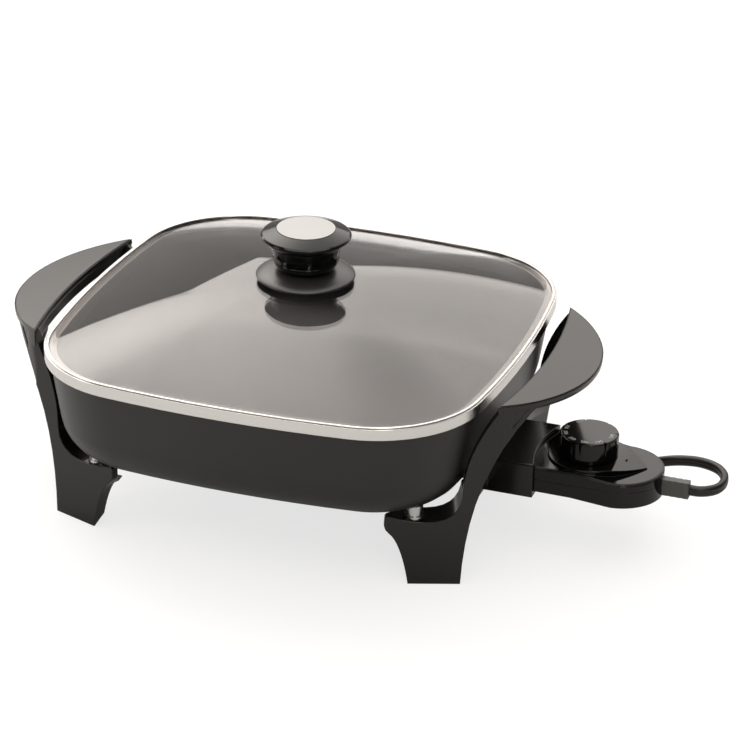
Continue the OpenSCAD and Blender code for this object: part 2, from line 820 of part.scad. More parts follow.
module pad_outline() {
  near = bezier([[dial_x, -pad_radius], [dial_x + 14, -pad_radius],
                 [pad_tip - 10, -14], [pad_tip, 0]], 10);
  polygon(concat(near, [for (i = [9:-1:0]) [near[i][0], -near[i][1]]]));
  translate([dial_x, 0]) circle(pad_radius);
}

// Side view of the control, from z0 up to its sloped top less drop.
module side_view(z0, drop) {
  translate([0, control_half + 5, 0]) rotate([90, 0, 0]) linear_extrude(2 * control_half + 10)
    polygon([
      [control_start, z0], [control_reach, z0], [control_reach, control_end_top - drop],
      [slope_end, control_end_top - drop], [slope_start, control_top - drop],
      [control_start, control_top - drop]
    ]);
}

edge_steps = 3;
top_round = 1.5;
module control_cover() color([0.08, 0.08, 0.08]) at_control()
  difference() {
    union() {
      for (i = [0:edge_steps])
        let (a = 90 * i / edge_steps)
          intersection() {
            translate([0, 0, parting_height + parting_gap])
              linear_extrude(30) control_plan(top_round * (1 - cos(a)));
            side_view(0, top_round * (1 - sin(a)));
          }
      translate([0, 0, parting_height + parting_gap + 1])
        linear_extrude(pad_height - parting_height - 1 - parting_gap)
          intersection() {
            pad_outline();
            control_plan(2);
          }
    }
    translate([0, 0, parting_height - 1])
      linear_extrude(roof - parting_height + 1)
        difference() {
          control_plan(housing_wall);
          for (p = screw_places) translate(p) circle(boss_radius);
        }
    translate([dial_x, 0, parting_height])
      cylinder(d = dial_shaft_d + 2 * clearance, h = 30);
    for (p = screw_places)
      translate([p[0], p[1], parting_height - 1])
        cylinder(d = screw_d + 0.1, h = screw_top - parting_height + 1.2);
    inlet_holes();
  }

// Holes in the control's inner end for the probe and the sockets.
module inlet_holes() {
  along_x(control_start - 1, control_start + 6, 0, terminal_height) circle(d = probe_d + 0.1);
  each_side()
    along_x(control_start - 1, control_start + 6, pin_offset, terminal_height)
      circle(d = socket_d + 0.1);
}

// Side view of the base, from its underside less drop up to z1.
module belly_view(rise, z1) {
  translate([0, control_half + 5, 0])
    rotate([90, 0, 0]) linear_extrude(2 * control_half + 10)
      polygon([
        [control_start, control_bottom + rise], [belly_start, control_bottom - 0.6 + rise],
        [belly_end, control_end_bottom + rise], [control_reach, control_end_bottom + rise],
        [control_reach, z1], [control_start, z1]
      ]);
}

module control_base() color([0.08, 0.08, 0.08]) at_control()
  difference() {
    union() {
      difference() {
        intersection() {
          translate([0, 0, control_end_bottom - 1])
            linear_extrude(parting_height - control_end_bottom + 1) control_plan(0);
          belly_view(0, parting_height);
        }
        intersection() {
          translate([0, 0, control_end_bottom])
            linear_extrude(parting_height) control_plan(housing_wall);
          belly_view(base_floor, parting_height + 5);
        }
      }
      intersection() {
        for (p = screw_places)
          translate([p[0], p[1], control_end_bottom])
            cylinder(r = boss_radius, h = parting_height - control_end_bottom - 0.2);
        belly_view(0.1, parting_height);
      }
    }
    for (p = screw_places) translate([p[0], p[1], 0]) {
      translate([0, 0, control_end_bottom - 1])
        cylinder(r = screw_head + 0.15, h = screw_seat - control_end_bottom + 1);
      translate([0, 0, control_end_bottom]) cylinder(d = screw_d + 0.4, h = 20);
    }
    inlet_holes();
    along_x(control_reach - 6, control_reach + 1, 0, relief_z) circle(d = 5.6);
  }

boss_radius = 3.8;
screw_places = [[control_start + 31.5, 21.4], [control_start + 31.5, -21.4],
                [control_reach - 16, 0]];
screw_d = 2.6;
screw_head = 2.5;
screw_seat = control_bottom + base_floor + 1.2;
screw_top = roof + 1.6;
module control_screws() color([0.5, 0.5, 0.5]) at_control()
  for (p = screw_places)
    translate([p[0], p[1], 0])
      difference() {
        union() {
          translate([0, 0, screw_seat - 1.8]) cylinder(r = screw_head, h = 1.8);
          translate([0, 0, screw_seat - 0.1]) cylinder(d = screw_d, h = screw_top - screw_seat + 0.1);
        }
        translate([0, 0, screw_seat - 3]) cylinder(d = 2, h = 2.4, $fn = 6);
      }

socket_d = 6.4;
socket_start = control_start + 0.5;
socket_end = control_start + 21.5;
module terminal_sockets() color([0.78, 0.62, 0.3]) at_control()
  each_side()
    along_x(socket_start, socket_end, pin_offset, terminal_height)
      difference() {
        circle(d = socket_d);
        circle(d = pin_d + 2 * slip);
      }

probe_start = control_start + 5.1;
module probe() color([0.75, 0.75, 0.75]) at_control() {
  along_x(probe_tip + 3, probe_start, 0, terminal_height) circle(d = probe_d);
  translate([probe_tip + 3, 0, terminal_height]) sphere(d = probe_d);
}

frame_z = control_bottom + base_floor;
bush_top = roof - 0.4;
frame_width = 18;
module thermostat_frame() color([0.65, 0.66, 0.62]) at_control()
  difference() {
    union() {
      translate([probe_start, -frame_width / 2, frame_z])
        cube([dial_x + 12 - probe_start, frame_width, 1.2]);
      translate([probe_start, -frame_width / 2, frame_z])
        cube([1.4, frame_width, roof - frame_z - 0.4]);
      translate([dial_x, 0, frame_z]) cylinder(r = 6, h = bush_top - frame_z);
    }
    translate([dial_x, 0, frame_z + 1.2]) cylinder(d = dial_shaft_d + 0.12, h = 20);
  }

post_start = control_start + 32.5;
post_places = [[post_start, 6.2], [post_start, -6.2], [post_start + 9, 6.2], [post_start + 9, -6.2]];
post_top = frame_z + 4.4;
module contact_posts() color([0.92, 0.9, 0.85]) at_control()
  for (p = post_places)
    translate([p[0], p[1], frame_z + 1.2]) cylinder(d = 5, h = post_top - frame_z - 1.2);

module contact_blades() color([0.8, 0.55, 0.35]) at_control()
  for (y = [6.2, -6.2])
    translate([post_start - 6, y - 2.2, post_top]) cube([24, 4.4, 0.5]);

module bimetal_blade() color([0.7, 0.68, 0.6]) at_control()
  translate([probe_start + 1.4, -3, post_top + 0.6]) cube([40, 6, 0.8]);

// ---------- dial ----------
dial_base = pad_height + 0.5;
dial_top = dial_base + dial_height;
shaft_top = dial_base + 9;
flute_depth = 2.2;
flute_length = 9.6;
flute_start = -41;

module dial() color([0.08, 0.08, 0.08]) at_control()
  translate([dial_x, 0, 0])
    difference() {
      rotate_extrude($fn = 96)
        polygon([
          [0, dial_base], [dial_radius, dial_base], [dial_radius, dial_top - 1.2],
          [dial_radius - 0.4, dial_top - 0.35], [dial_radius - 1.2, dial_top], [0, dial_top]
        ]);
      translate([0, 0, dial_base - 1]) cylinder(d = dial_shaft_d + 0.02, h = 10);
      translate([0, 0, dial_base - 1]) cylinder(d = 3.2, h = dial_height - 2);
      for (i = [0:dial_flutes - 1])
        rotate([0, 0, flute_start + i * 360 / dial_flutes])
          translate([dial_radius, 0, dial_top - flute_length])
            rotate([0, -atan2(flute_depth, flute_length), 0])
              translate([0, 0, -4])
                linear_extrude(dial_height + 4) polygon([[0, 0], [5, -2.9], [5, 2.9]]);
    }

module dial_shaft() color([0.7, 0.7, 0.7]) at_control()
  translate([dial_x, 0, frame_z + 1.5])
    difference() {
      cylinder(d = dial_shaft_d, h = shaft_top - frame_z - 1.5);
      translate([0, 0, shaft_top - frame_z - 1.5 - 8]) cylinder(d = 2.4, h = 9);
    }

module dial_screw() color([0.6, 0.6, 0.6]) at_control()
  translate([dial_x, 0, shaft_top - 7]) {
    cylinder(d = 2.3, h = 7);
    translate([0, 0, 7]) cylinder(d = 3, h = 2);
  }

// ---------- cord ----------
relief_z = 45.1;
module strain_relief() color([0.4, 0.4, 0.39]) at_control() {
  difference() {
    translate([control_reach, -relief_width / 2, relief_z - relief_height / 2])
      cube([relief_length, relief_width, relief_height]);
    for (x = [4:4:relief_length - 3], s = [-1, 1])
      translate([control_reach + x, s * relief_width / 2 - 0.3, relief_z - relief_height / 2 - 1])
        cube([1.2, 0.6, relief_height + 2]);
  }
  along_x(control_reach - housing_wall - 3, control_reach + 1, 0, relief_z) circle(d = 5.4);
  along_x(control_reach - housing_wall - 3, control_reach - housing_wall - 0.6, 0, relief_z)
    circle(d = 7.6);
}

// Route of the cord, measured from the pan's centre.
cord_route = [
  [255, -2, 45.1], [260.5, -2, 45.1], [266, 0.4, 45.1], [270.6, 5.2, 45.1], [272.6, 12, 45.1],
  [272, 20.4, 45.1], [269, 27.5, 45], [264.3, 33, 44.8], [257.5, 37, 44.5], [250, 39.2, 44],
  [242, 40, 43], [234, 40.2, 41.5], [225, 41, 38.5], [215, 43.5, 33.5], [205, 48, 27],
  [195, 54, 19.5], [185, 61.5, 12.5], [175, 70.5, 7.5], [164, 81, 4.8], [153, 91.5, 3.8],
  [140, 101, 3.8], [126, 108, 3.8], [110, 113.5, 3.8], [94, 118.5, 3.8], [79, 125, 3.8],
  [66, 134.5, 3.8], [56, 147, 3.8], [49, 161, 3.8], [45.6, 174, 3.8], [45, 186, 3.8]
];
tail_route = [
  [8, 227, 10.9], [-4, 227, 10.9], [-16, 227, 10.1], [-28, 227, 8.4], [-38, 227, 7.1],
  [-46, 227, 7.1]
];
tube_sides = 8;
coil_low = 0.3;
coil_half = cord_width / 2;

// The routes are drawn for a control that ends at 238 and a vessel of half width 146.
function laid(p) = [
  p[0] + control_reach - 238,
  p[1] + (vessel_half - 146) * min(1, max(0, (p[1] - 20) / 40)),
  p[2]
];
coil_centre = laid([6, 188, 0]);

function tangent(p, i) = unit(p[min(i + 1, len(p) - 1)] - p[max(i - 1, 0)]);
function tube_ring(c, t, r) =
  let (side = unit(cross(t, [0, 0, 1])), up = cross(side, t))
    [for (j = [0:tube_sides - 1])
      let (a = 360 * (j + 0.5) / tube_sides) c + r * (cos(a) * side + sin(a) * up)];

module tube(route, r) {
  n = tube_sides;
  rings = [for (i = [0:len(route) - 1]) each tube_ring(route[i], tangent(route, i), r)];
  walls = [
    for (i = [0:len(route) - 2])
      for (j = [0:n - 1])
        let (k = (j + 1) % n) [i * n + j, i * n + k, (i + 1) * n + k, (i + 1) * n + j]
  ];
  polyhedron(rings, concat([[for (j = [n - 1:-1:0]) j]], walls,
                           [[for (j = [0:n - 1]) (len(route) - 1) * n + j]]), convexity = 8);
}

module cord() color([0.12, 0.12, 0.12]) at_pan() tube([for (p = cord_route) laid(p)], cord_width / 2);

module cord_tail() color([0.12, 0.12, 0.12]) at_pan() tube([for (p = tail_route) laid(p)], cord_width / 2);

module cord_coil() color([0.12, 0.12, 0.12]) at_pan()
  translate([coil_centre[0], coil_centre[1], coil_low]) {
    rotate_extrude($fn = 72)
      translate([coil_radius - coil_half, 0]) square([2 * coil_half, 2 * coil_half]);
    rotate([0, 0, -60])
      rotate_extrude(angle = 150, $fn = 72)
        translate([coil_radius - coil_half + 0.35, 2 * coil_half - 0.4])
          square([2 * coil_half - 0.7, 2 * coil_half + 0.4]);
  }

tie_gap = 0.15;
tie_angle = 35;
tie_width = 5;
tie_wall = 1;
module cord_tie() color([0.15, 0.15, 0.15]) at_pan()
  translate([coil_centre[0], coil_centre[1], 0])
    rotate([0, 0, tie_angle])
      translate([coil_radius, -tie_width / 2, 0])
        difference() {
          translate([-coil_half - tie_gap - tie_wall, 0, 0])
            cube([2 * (coil_half + tie_gap + tie_wall), tie_width,
                  coil_low + 4 * coil_half + tie_gap + tie_wall]);
          translate([-coil_half - tie_gap, -1, coil_low - 0.1])
            cube([2 * (coil_half + tie_gap), tie_width + 2, 4 * coil_half + tie_gap + 0.1]);
        }

plug_length = 32;
plug_width = 25;
plug_height = 14;
tail_end = laid(tail_route[len(tail_route) - 1]);
plug_x = tail_end[0];
plug_y = tail_end[1];
module plug_body() color([0.1, 0.1, 0.1]) at_pan()
  difference() {
    translate([plug_x - plug_length, plug_y - plug_width / 2, 0.1])
      cube([plug_length, plug_width, plug_height]);
    for (s = [-1, 1])
      translate([plug_x - plug_length - 1, plug_y + s * 6.35 - 0.8, 0.1 + plug_height / 2 - 3.3])
        cube([10, 1.6, 6.6]);
  }

module plug_blades() color([0.8, 0.72, 0.4]) at_pan()
  for (s = [-1, 1])
    translate([plug_x - plug_length - 17, plug_y + s * 6.35 - 0.75, 0.1 + plug_height / 2 - 3.2])
      cube([25, 1.5, 6.4]);

pan();
heating_element();
terminal_pins();
terminal_insulators();
left_handle();
right_handle();
leg_standoffs();
leg_screws();
lid_glass();
lid_band();
knob_skirt();
knob_grip();
knob_badge();
knob_insert();
knob_screw();
knob_washer();
knob_gaskets();
control_cover();
control_base();
control_screws();
probe();
terminal_sockets();
thermostat_frame();
bimetal_blade();
contact_blades();
contact_posts();
dial();
dial_shaft();
dial_screw();
strain_relief();
cord();
cord_coil();
cord_tie();
cord_tail();
plug_body();
plug_blades();
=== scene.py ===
"""Electric skillet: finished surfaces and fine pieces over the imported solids."""

import math

import bmesh
import bpy
from bpy.props import FloatProperty, FloatVectorProperty, IntProperty, PointerProperty
from bpy.types import Operator, Panel, PropertyGroup
from mathutils import Matrix, Vector


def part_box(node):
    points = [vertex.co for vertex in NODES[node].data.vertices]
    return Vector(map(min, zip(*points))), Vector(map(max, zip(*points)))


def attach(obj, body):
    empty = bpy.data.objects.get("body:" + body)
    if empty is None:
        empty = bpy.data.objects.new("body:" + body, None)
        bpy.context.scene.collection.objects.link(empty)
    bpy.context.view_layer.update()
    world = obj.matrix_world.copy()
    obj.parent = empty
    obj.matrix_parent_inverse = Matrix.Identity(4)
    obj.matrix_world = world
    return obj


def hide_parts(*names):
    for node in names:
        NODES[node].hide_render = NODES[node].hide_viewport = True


bl_info = {
    "name": "Electric Skillet",
    "version": (1, 0, 0),
    "blender": (4, 5, 0),
    "location": "View3D > Sidebar > Skillet",
    "description": "Dresses the electric skillet's solids with finished surfaces",
    "category": "Object",
}

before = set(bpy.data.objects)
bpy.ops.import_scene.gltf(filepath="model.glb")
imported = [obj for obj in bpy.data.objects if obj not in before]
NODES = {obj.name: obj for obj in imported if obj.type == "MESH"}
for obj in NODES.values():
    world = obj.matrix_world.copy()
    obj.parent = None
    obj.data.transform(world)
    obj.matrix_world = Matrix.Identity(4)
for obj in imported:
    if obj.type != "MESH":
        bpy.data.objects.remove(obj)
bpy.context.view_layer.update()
MM = 0.001


def node_centre(node):
    """Middle of a node's box."""
    low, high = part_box(node)
    return Vector([(a + b) / 2 for a, b in zip(low, high)])


# The pan's centre along X (its Y is 0), and the dial's centre.
PAN_X = node_centre("lid_band").x
DIAL_AXIS = node_centre("dial")


def at_pan(x, y, z):
    """Point of the scene, from millimetres measured at the pan's centre."""
    return Vector((PAN_X + x * MM, y * MM, z * MM))


# ---------------------------------------------------------------- settings


class SkilletStage(PropertyGroup):
    """Camera, floor and lamps."""

    lens: FloatProperty(
        name="Lens", description="Focal length of the camera on a 36 mm sensor",
        default=162.02, min=50, max=300)
    floor_grey: FloatProperty(
        name="Floor", description="Grey of the floor", default=0.3, min=0, max=1,
        subtype="FACTOR")
    mirror_grey: FloatProperty(
        name="Mirrored floor", description="Grey of the floor as gloss and metal show it",
        default=0.5, min=0, max=1, subtype="FACTOR")
    back_light: FloatProperty(
        name="Back softbox", description="Radiance of the softbox behind the skillet",
        default=1.58, min=0, max=6)
    hot_light: FloatProperty(
        name="Hot spot", description="Radiance that the back softbox gains at its left end",
        default=2.9, min=0, max=6)
    top_light: FloatProperty(
        name="Top softbox", description="Radiance of the softbox above the skillet",
        default=1.9, min=0, max=6)
    lamp_tint: FloatVectorProperty(
        name="Lamp tint", description="Colour of every softbox",
        default=(1.0, 0.95, 0.9), subtype="COLOR", min=0, max=1)
    backdrop_light: FloatProperty(
        name="Backdrop", description="Radiance of the low backdrop behind the skillet",
        default=0.32, min=0, max=6)
    card_light: FloatProperty(
        name="Left card", description="Radiance of the low card at the left",
        default=2.0, min=0, max=6)
    front_light: FloatProperty(
        name="Front strip", description="Radiance of the strip lamps in front",
        default=3.6, min=0, max=12)
    room: FloatProperty(
        name="Room", description="Radiance of the room round the skillet",
        default=0.06, min=0, max=2)


class SkilletColours(PropertyGroup):
    """Colours and finishes that a user would change."""

    coating: FloatVectorProperty(
        name="Pan coating", description="Colour of the non-stick coating",
        default=(0.013, 0.0125, 0.011), subtype="COLOR", min=0, max=1)
    moulding: FloatVectorProperty(
        name="Handle moulding", description="Colour of the handle mouldings",
        default=(0.007, 0.0065, 0.0055), subtype="COLOR", min=0, max=1)
    gloss: FloatVectorProperty(
        name="Gloss plastic",
        description="Colour of the knob, the heat control and the dial",
        default=(0.003, 0.003, 0.003), subtype="COLOR", min=0, max=1)
    satin: FloatVectorProperty(
        name="Satin plastic", description="Colour of the flared disc under the knob",
        default=(0.024, 0.0235, 0.023), subtype="COLOR", min=0, max=1)
    steel: FloatVectorProperty(
        name="Lid steel", description="Colour of the lid's steel band",
        default=(0.74, 0.725, 0.705), subtype="COLOR", min=0, max=1)
    badge: FloatVectorProperty(
        name="Badge", description="Colour of the plain disc on the knob",
        default=(0.385, 0.385, 0.38), subtype="COLOR", min=0, max=1)
    jacket: FloatVectorProperty(
        name="Cord jacket", description="Colour of the cord's jacket",
        default=(0.01, 0.0095, 0.008), subtype="COLOR", min=0, max=1)
    print_ink: FloatVectorProperty(
        name="Dial ink", description="Colour of the dial's figures",
        default=(0.75, 0.75, 0.73), subtype="COLOR", min=0, max=1)


class SkilletSizes(PropertyGroup):
    """Sizes of the pieces that are made here."""

    cord_width: FloatProperty(
        name="Cord width", description="Width of the flat twin cord",
        default=0.007, min=0.004, max=0.01, unit="LENGTH")
    cord_thickness: FloatProperty(
        name="Cord thickness", description="Thickness of the flat twin cord",
        default=0.005, min=0.003, max=0.007, unit="LENGTH")
    coil_radius: FloatProperty(
        name="Coil radius", description="Radius of the coil at the middle of its turns",
        default=0.039, min=0.03, max=0.05, unit="LENGTH")
    figure_height: FloatProperty(
        name="Figure height", description="Height of the dial's figures",
        default=0.0034, min=0.002, max=0.006, unit="LENGTH")
    glass_rings: IntProperty(
        name="Glass rings", description="Rings of faces from the glass's rim to its crown",
        default=40, min=12, max=80)


# ---------------------------------------------------------------- mesh helpers


def deselect():
    """Leaves edit mode and selects nothing."""
    if bpy.context.object and bpy.context.object.mode != "OBJECT":
        bpy.ops.object.mode_set(mode="OBJECT")
    bpy.ops.object.select_all(action="DESELECT")


def activate(piece):
    """Makes one piece the only selected and the active one."""
    deselect()
    piece.select_set(True)
    bpy.context.view_layer.objects.active = piece


def new_piece(name, mesh):
    """Object of a mesh, in the scene."""
    piece = bpy.data.objects.new(name, mesh)
    bpy.context.scene.collection.objects.link(piece)
    return piece


def edit(piece):
    """Opens a piece in edit mode with all of it selected."""
    activate(piece)
    bpy.ops.object.mode_set(mode="EDIT")
    bpy.ops.mesh.select_all(action="SELECT")


def settle(piece):
    """Applies the object's place, so that the place is in its mesh."""
    activate(piece)
    bpy.ops.object.transform_apply(location=True, rotation=True, scale=True)


def modify(piece, kind, **values):
    """Adds one modifier and applies it."""
    activate(piece)
    modifier = piece.modifiers.new(kind.title(), kind)
    for name, value in values.items():
        setattr(modifier, name, value)
    bpy.ops.object.modifier_apply(modifier=modifier.name)


def smooth(piece, angle):
    """Smooth shading over edges that turn less than an angle, in degrees."""
    activate(piece)
    bpy.ops.object.shade_smooth_by_angle(angle=math.radians(angle))


def round_edges(piece, width, angle, segments=2, shade=32, flat=True):
    """Bevels the edges that turn more than an angle. Flat keeps wide faces flat."""
    modify(piece, "BEVEL", width=width, segments=segments, limit_method="ANGLE",
           angle_limit=math.radians(angle))
    smooth(piece, shade)
    if flat:
        modify(piece, "WEIGHTED_NORMAL", keep_sharp=True)


def merged_copy(node, name):
    """Closed copy of a node's mesh, for finer edges than the solid has."""
    piece = new_piece(name, NODES[node].data.copy())
    edit(piece)
    bpy.ops.mesh.remove_doubles(threshold=2e-6)
    bpy.ops.mesh.dissolve_limited(angle_limit=math.radians(0.4))
    bpy.ops.object.mode_set(mode="OBJECT")
    return piece


def dress(piece, finish, body, nodes=()):
    """Gives a piece its finish, the body it rides on and the nodes it stands for."""
    piece.data.materials.clear()
    piece.data.materials.append(FINISHES[finish]())
    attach(piece, body)
    if nodes:
        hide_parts(*nodes)
    return piece


def paint(finish, *nodes):
    """Gives nodes of the frame their finish."""
    for node in nodes:
        mesh = NODES[node].data
        mesh.materials.clear()
        mesh.materials.append(FINISHES[finish]())


def revolved(name, profile, centre, steps=96):
    """Round piece, spun from a profile of (radius, height) in millimetres."""
    mesh = bpy.data.meshes.new(name)
    piece = new_piece(name, mesh)
    mesh.from_pydata([(r * MM, 0, z * MM) for r, z in profile],
                     [(i, i + 1) for i in range(len(profile) - 1)], [])
    edit(piece)
    bpy.ops.mesh.spin(steps=steps, angle=2 * math.pi, center=(0, 0, 0), axis=(0, 0, 1))
    bpy.ops.mesh.select_all(action="SELECT")
    bpy.ops.mesh.remove_doubles(threshold=1e-6)
    bpy.ops.mesh.normals_make_consistent(inside=False)
    bpy.ops.object.mode_set(mode="OBJECT")
    piece.location = centre
    settle(piece)
    return piece


# ---------------------------------------------------------------- shader helpers


def build_group(name, inputs, outputs):
    """Empty node group with named sockets: (group, input node, output node)."""
    group = bpy.data.node_groups.new(name, "ShaderNodeTree")
    for socket, kind, value in inputs:
        item = group.interface.new_socket(socket, in_out="INPUT", socket_type=kind)
        if value is not None:
            item.default_value = value
    for socket, kind in outputs:
        group.interface.new_socket(socket, in_out="OUTPUT", socket_type=kind)
    inp = group.nodes.new("NodeGroupInput")
    return group, inp, group.nodes.new("NodeGroupOutput")


def add(tree, kind, links=(), **values):
    """Adds a node, sets its properties or inputs, and links inputs to sockets."""
    made = tree.nodes.new(kind)
    for name, value in values.items():
        setattr(made, name, value)
    for name, value in dict(links).items():
        if isinstance(value, bpy.types.NodeSocket):
            tree.links.new(value, made.inputs[name])
        else:
            made.inputs[name].default_value = value
    return made


FLOAT, VECTOR, COLOR = "NodeSocketFloat", "NodeSocketVector", "NodeSocketColor"


def put_out(group, inp, out, height, pattern):
    """Ends a group: its height, and roughness and colour that a pattern changes."""
    centred = add(group, "ShaderNodeMath", {0: pattern, 1: 0.5}, operation="SUBTRACT")
    change = add(group, "ShaderNodeMath",
                 {0: centred.outputs[0], 1: inp.outputs["Variation"]},
                 operation="MULTIPLY")
    rough = add(group, "ShaderNodeMath",
                {0: change.outputs[0], 1: inp.outputs["Roughness"]},
                operation="ADD", use_clamp=True)
    tint = add(group, "ShaderNodeMath",
               {0: centred.outputs[0], 1: inp.outputs["Colour Variation"]},
               operation="MULTIPLY")
    value = add(group, "ShaderNodeMath", {0: tint.outputs[0], 1: 1.0}, operation="ADD")
    colour = add(group, "ShaderNodeHueSaturation",
                 {"Color": inp.outputs["Colour"], "Value": value.outputs[0]})
    group.links.new(height, out.inputs["Height"])
    group.links.new(rough.outputs[0], out.inputs["Roughness"])
    group.links.new(colour.outputs[0], out.inputs["Colour"])
    return group


def moulded_grain():
    """Fine texture of a moulded or cast skin, with slow changes of gloss."""
    name = "Moulded Grain"
    if name in bpy.data.node_groups:
        return bpy.data.node_groups[name]
    group, inp, out = build_group(
        name,
        [("Vector", VECTOR, None), ("Grain Scale", FLOAT, 1500),
         ("Cloud Scale", FLOAT, 30), ("Roughness", FLOAT, 0.4),
         ("Variation", FLOAT, 0.05), ("Colour", COLOR, None),
         ("Colour Variation", FLOAT, 0.1)],
        [("Height", FLOAT), ("Roughness", FLOAT), ("Colour", COLOR)])
    grain = add(group, "ShaderNodeTexNoise",
                {"Vector": inp.outputs["Vector"], "Scale": inp.outputs["Grain Scale"],
                 "Detail": 2.0, "Roughness": 0.6})
    cloud = add(group, "ShaderNodeTexNoise",
                {"Vector": inp.outputs["Vector"], "Scale": inp.outputs["Cloud Scale"],
                 "Detail": 4.0, "Roughness": 0.65})
    return put_out(group, inp, out, grain.outputs["Fac"], cloud.outputs["Fac"])


def brushed_lines():
    """Fine lines of brushed or turned metal, drawn out along X, or along X and Y."""
    name = "Brushed Lines"
    if name in bpy.data.node_groups:
        return bpy.data.node_groups[name]
    group, inp, out = build_group(
        name,
        [("Vector", VECTOR, None), ("Scale", FLOAT, 400), ("Stretch", FLOAT, 0.02),
         ("Side Stretch", FLOAT, 1.0), ("Roughness", FLOAT, 0.25),
         ("Variation", FLOAT, 0.15), ("Colour", COLOR, None),
         ("Colour Variation", FLOAT, 0.1)],
        [("Height", FLOAT), ("Roughness", FLOAT), ("Colour", COLOR)])
    squeeze = add(group, "ShaderNodeCombineXYZ",
                  {"X": inp.outputs["Stretch"], "Y": inp.outputs["Side Stretch"],
                   "Z": 1.0})
    drawn = add(group, "ShaderNodeVectorMath",
                {0: inp.outputs["Vector"], 1: squeeze.outputs[0]}, operation="MULTIPLY")
    lines = add(group, "ShaderNodeTexNoise",
                {"Vector": drawn.outputs[0], "Scale": inp.outputs["Scale"],
                 "Detail": 3.0, "Roughness": 0.7})
    return put_out(group, inp, out, lines.outputs["Fac"], lines.outputs["Fac"])


def new_finish(name, metallic=0.0, ior=1.5):
    """Material with a plain Principled shader: (material, tree, shader, place)."""
    material = bpy.data.materials.new(name)
    material.use_nodes = True
    tree = material.node_tree
    shader = tree.nodes["Principled BSDF"]
    shader.inputs["Metallic"].default_value = metallic
    shader.inputs["IOR"].default_value = ior
    place = add(tree, "ShaderNodeTexCoord")
    return material, tree, shader, place.outputs["Object"]


def put_on(tree, shader, place, group, values, depth, strength, edge):
    """Puts a pattern group on a shader. An edge above 0 softens the edges so far."""
    skin = add(tree, "ShaderNodeGroup", node_tree=group)
    tree.links.new(place, skin.inputs["Vector"])
    for socket, value in values.items():
        skin.inputs[socket].default_value = value
    bump = add(tree, "ShaderNodeBump",
               {"Height": skin.outputs["Height"], "Distance": depth, "Strength": strength})
    if edge:
        soft = add(tree, "ShaderNodeBevel", {"Radius": edge}, samples=6)
        tree.links.new(soft.outputs[0], bump.inputs["Normal"])
    tree.links.new(bump.outputs[0], shader.inputs["Normal"])
    tree.links.new(skin.outputs["Roughness"], shader.inputs["Roughness"])
    tree.links.new(skin.outputs["Colour"], shader.inputs["Base Color"])


def grained(name, colour, roughness, grain=1500.0, depth=0.00002, variation=0.08,
            cloud=30.0, tint=0.1, edge=0.0, **shader_values):
    """Plastic, rubber, ceramic or cast metal with a moulded grain."""
    if name in bpy.data.materials:
        return bpy.data.materials[name]
    material, tree, shader, place = new_finish(name, **shader_values)
    put_on(tree, shader, place, moulded_grain(),
           {"Grain Scale": grain, "Cloud Scale": cloud, "Roughness": roughness,
            "Variation": variation, "Colour": (*colour, 1), "Colour Variation": tint},
           depth, 0.3, edge)
    return material


def brushed(name, colour, roughness, scale=400.0, stretch=0.02, side_stretch=1.0,
            variation=0.15, tint=0.08, depth=0.00001, edge=0.0):
    """Metal with drawn lines along X, or level all round it."""
    if name in bpy.data.materials:
        return bpy.data.materials[name]
    material, tree, shader, place = new_finish(name, metallic=1.0)
    put_on(tree, shader, place, brushed_lines(),
           {"Scale": scale, "Stretch": stretch, "Side Stretch": side_stretch,
            "Roughness": roughness, "Variation": variation, "Colour": (*colour, 1),
            "Colour Variation": tint},
           depth, 0.25, edge)
    return material


def colours():
    """The scene's colour settings."""
    return bpy.context.scene.skillet_colours


def lid_glass_finish():
    """Clear glass with a faint tint that changes slowly over the lid."""
    name = "Lid Glass"
    if name in bpy.data.materials:
        return bpy.data.materials[name]
    material, tree, shader, place = new_finish(name, ior=1.5)
    shader.inputs["Roughness"].default_value = 0.0
    shader.inputs["Transmission Weight"].default_value = 1.0
    wipe = add(tree, "ShaderNodeTexNoise",
               {"Vector": place, "Scale": 18.0, "Detail": 5.0, "Roughness": 0.6})
    tint = add(tree, "ShaderNodeMix",
               {"Factor": wipe.outputs["Fac"], "A": (0.98, 0.95, 0.95, 1),
                "B": (0.96, 0.93, 0.93, 1)}, data_type="RGBA")
    tree.links.new(tint.outputs["Result"], shader.inputs["Base Color"])
    return material


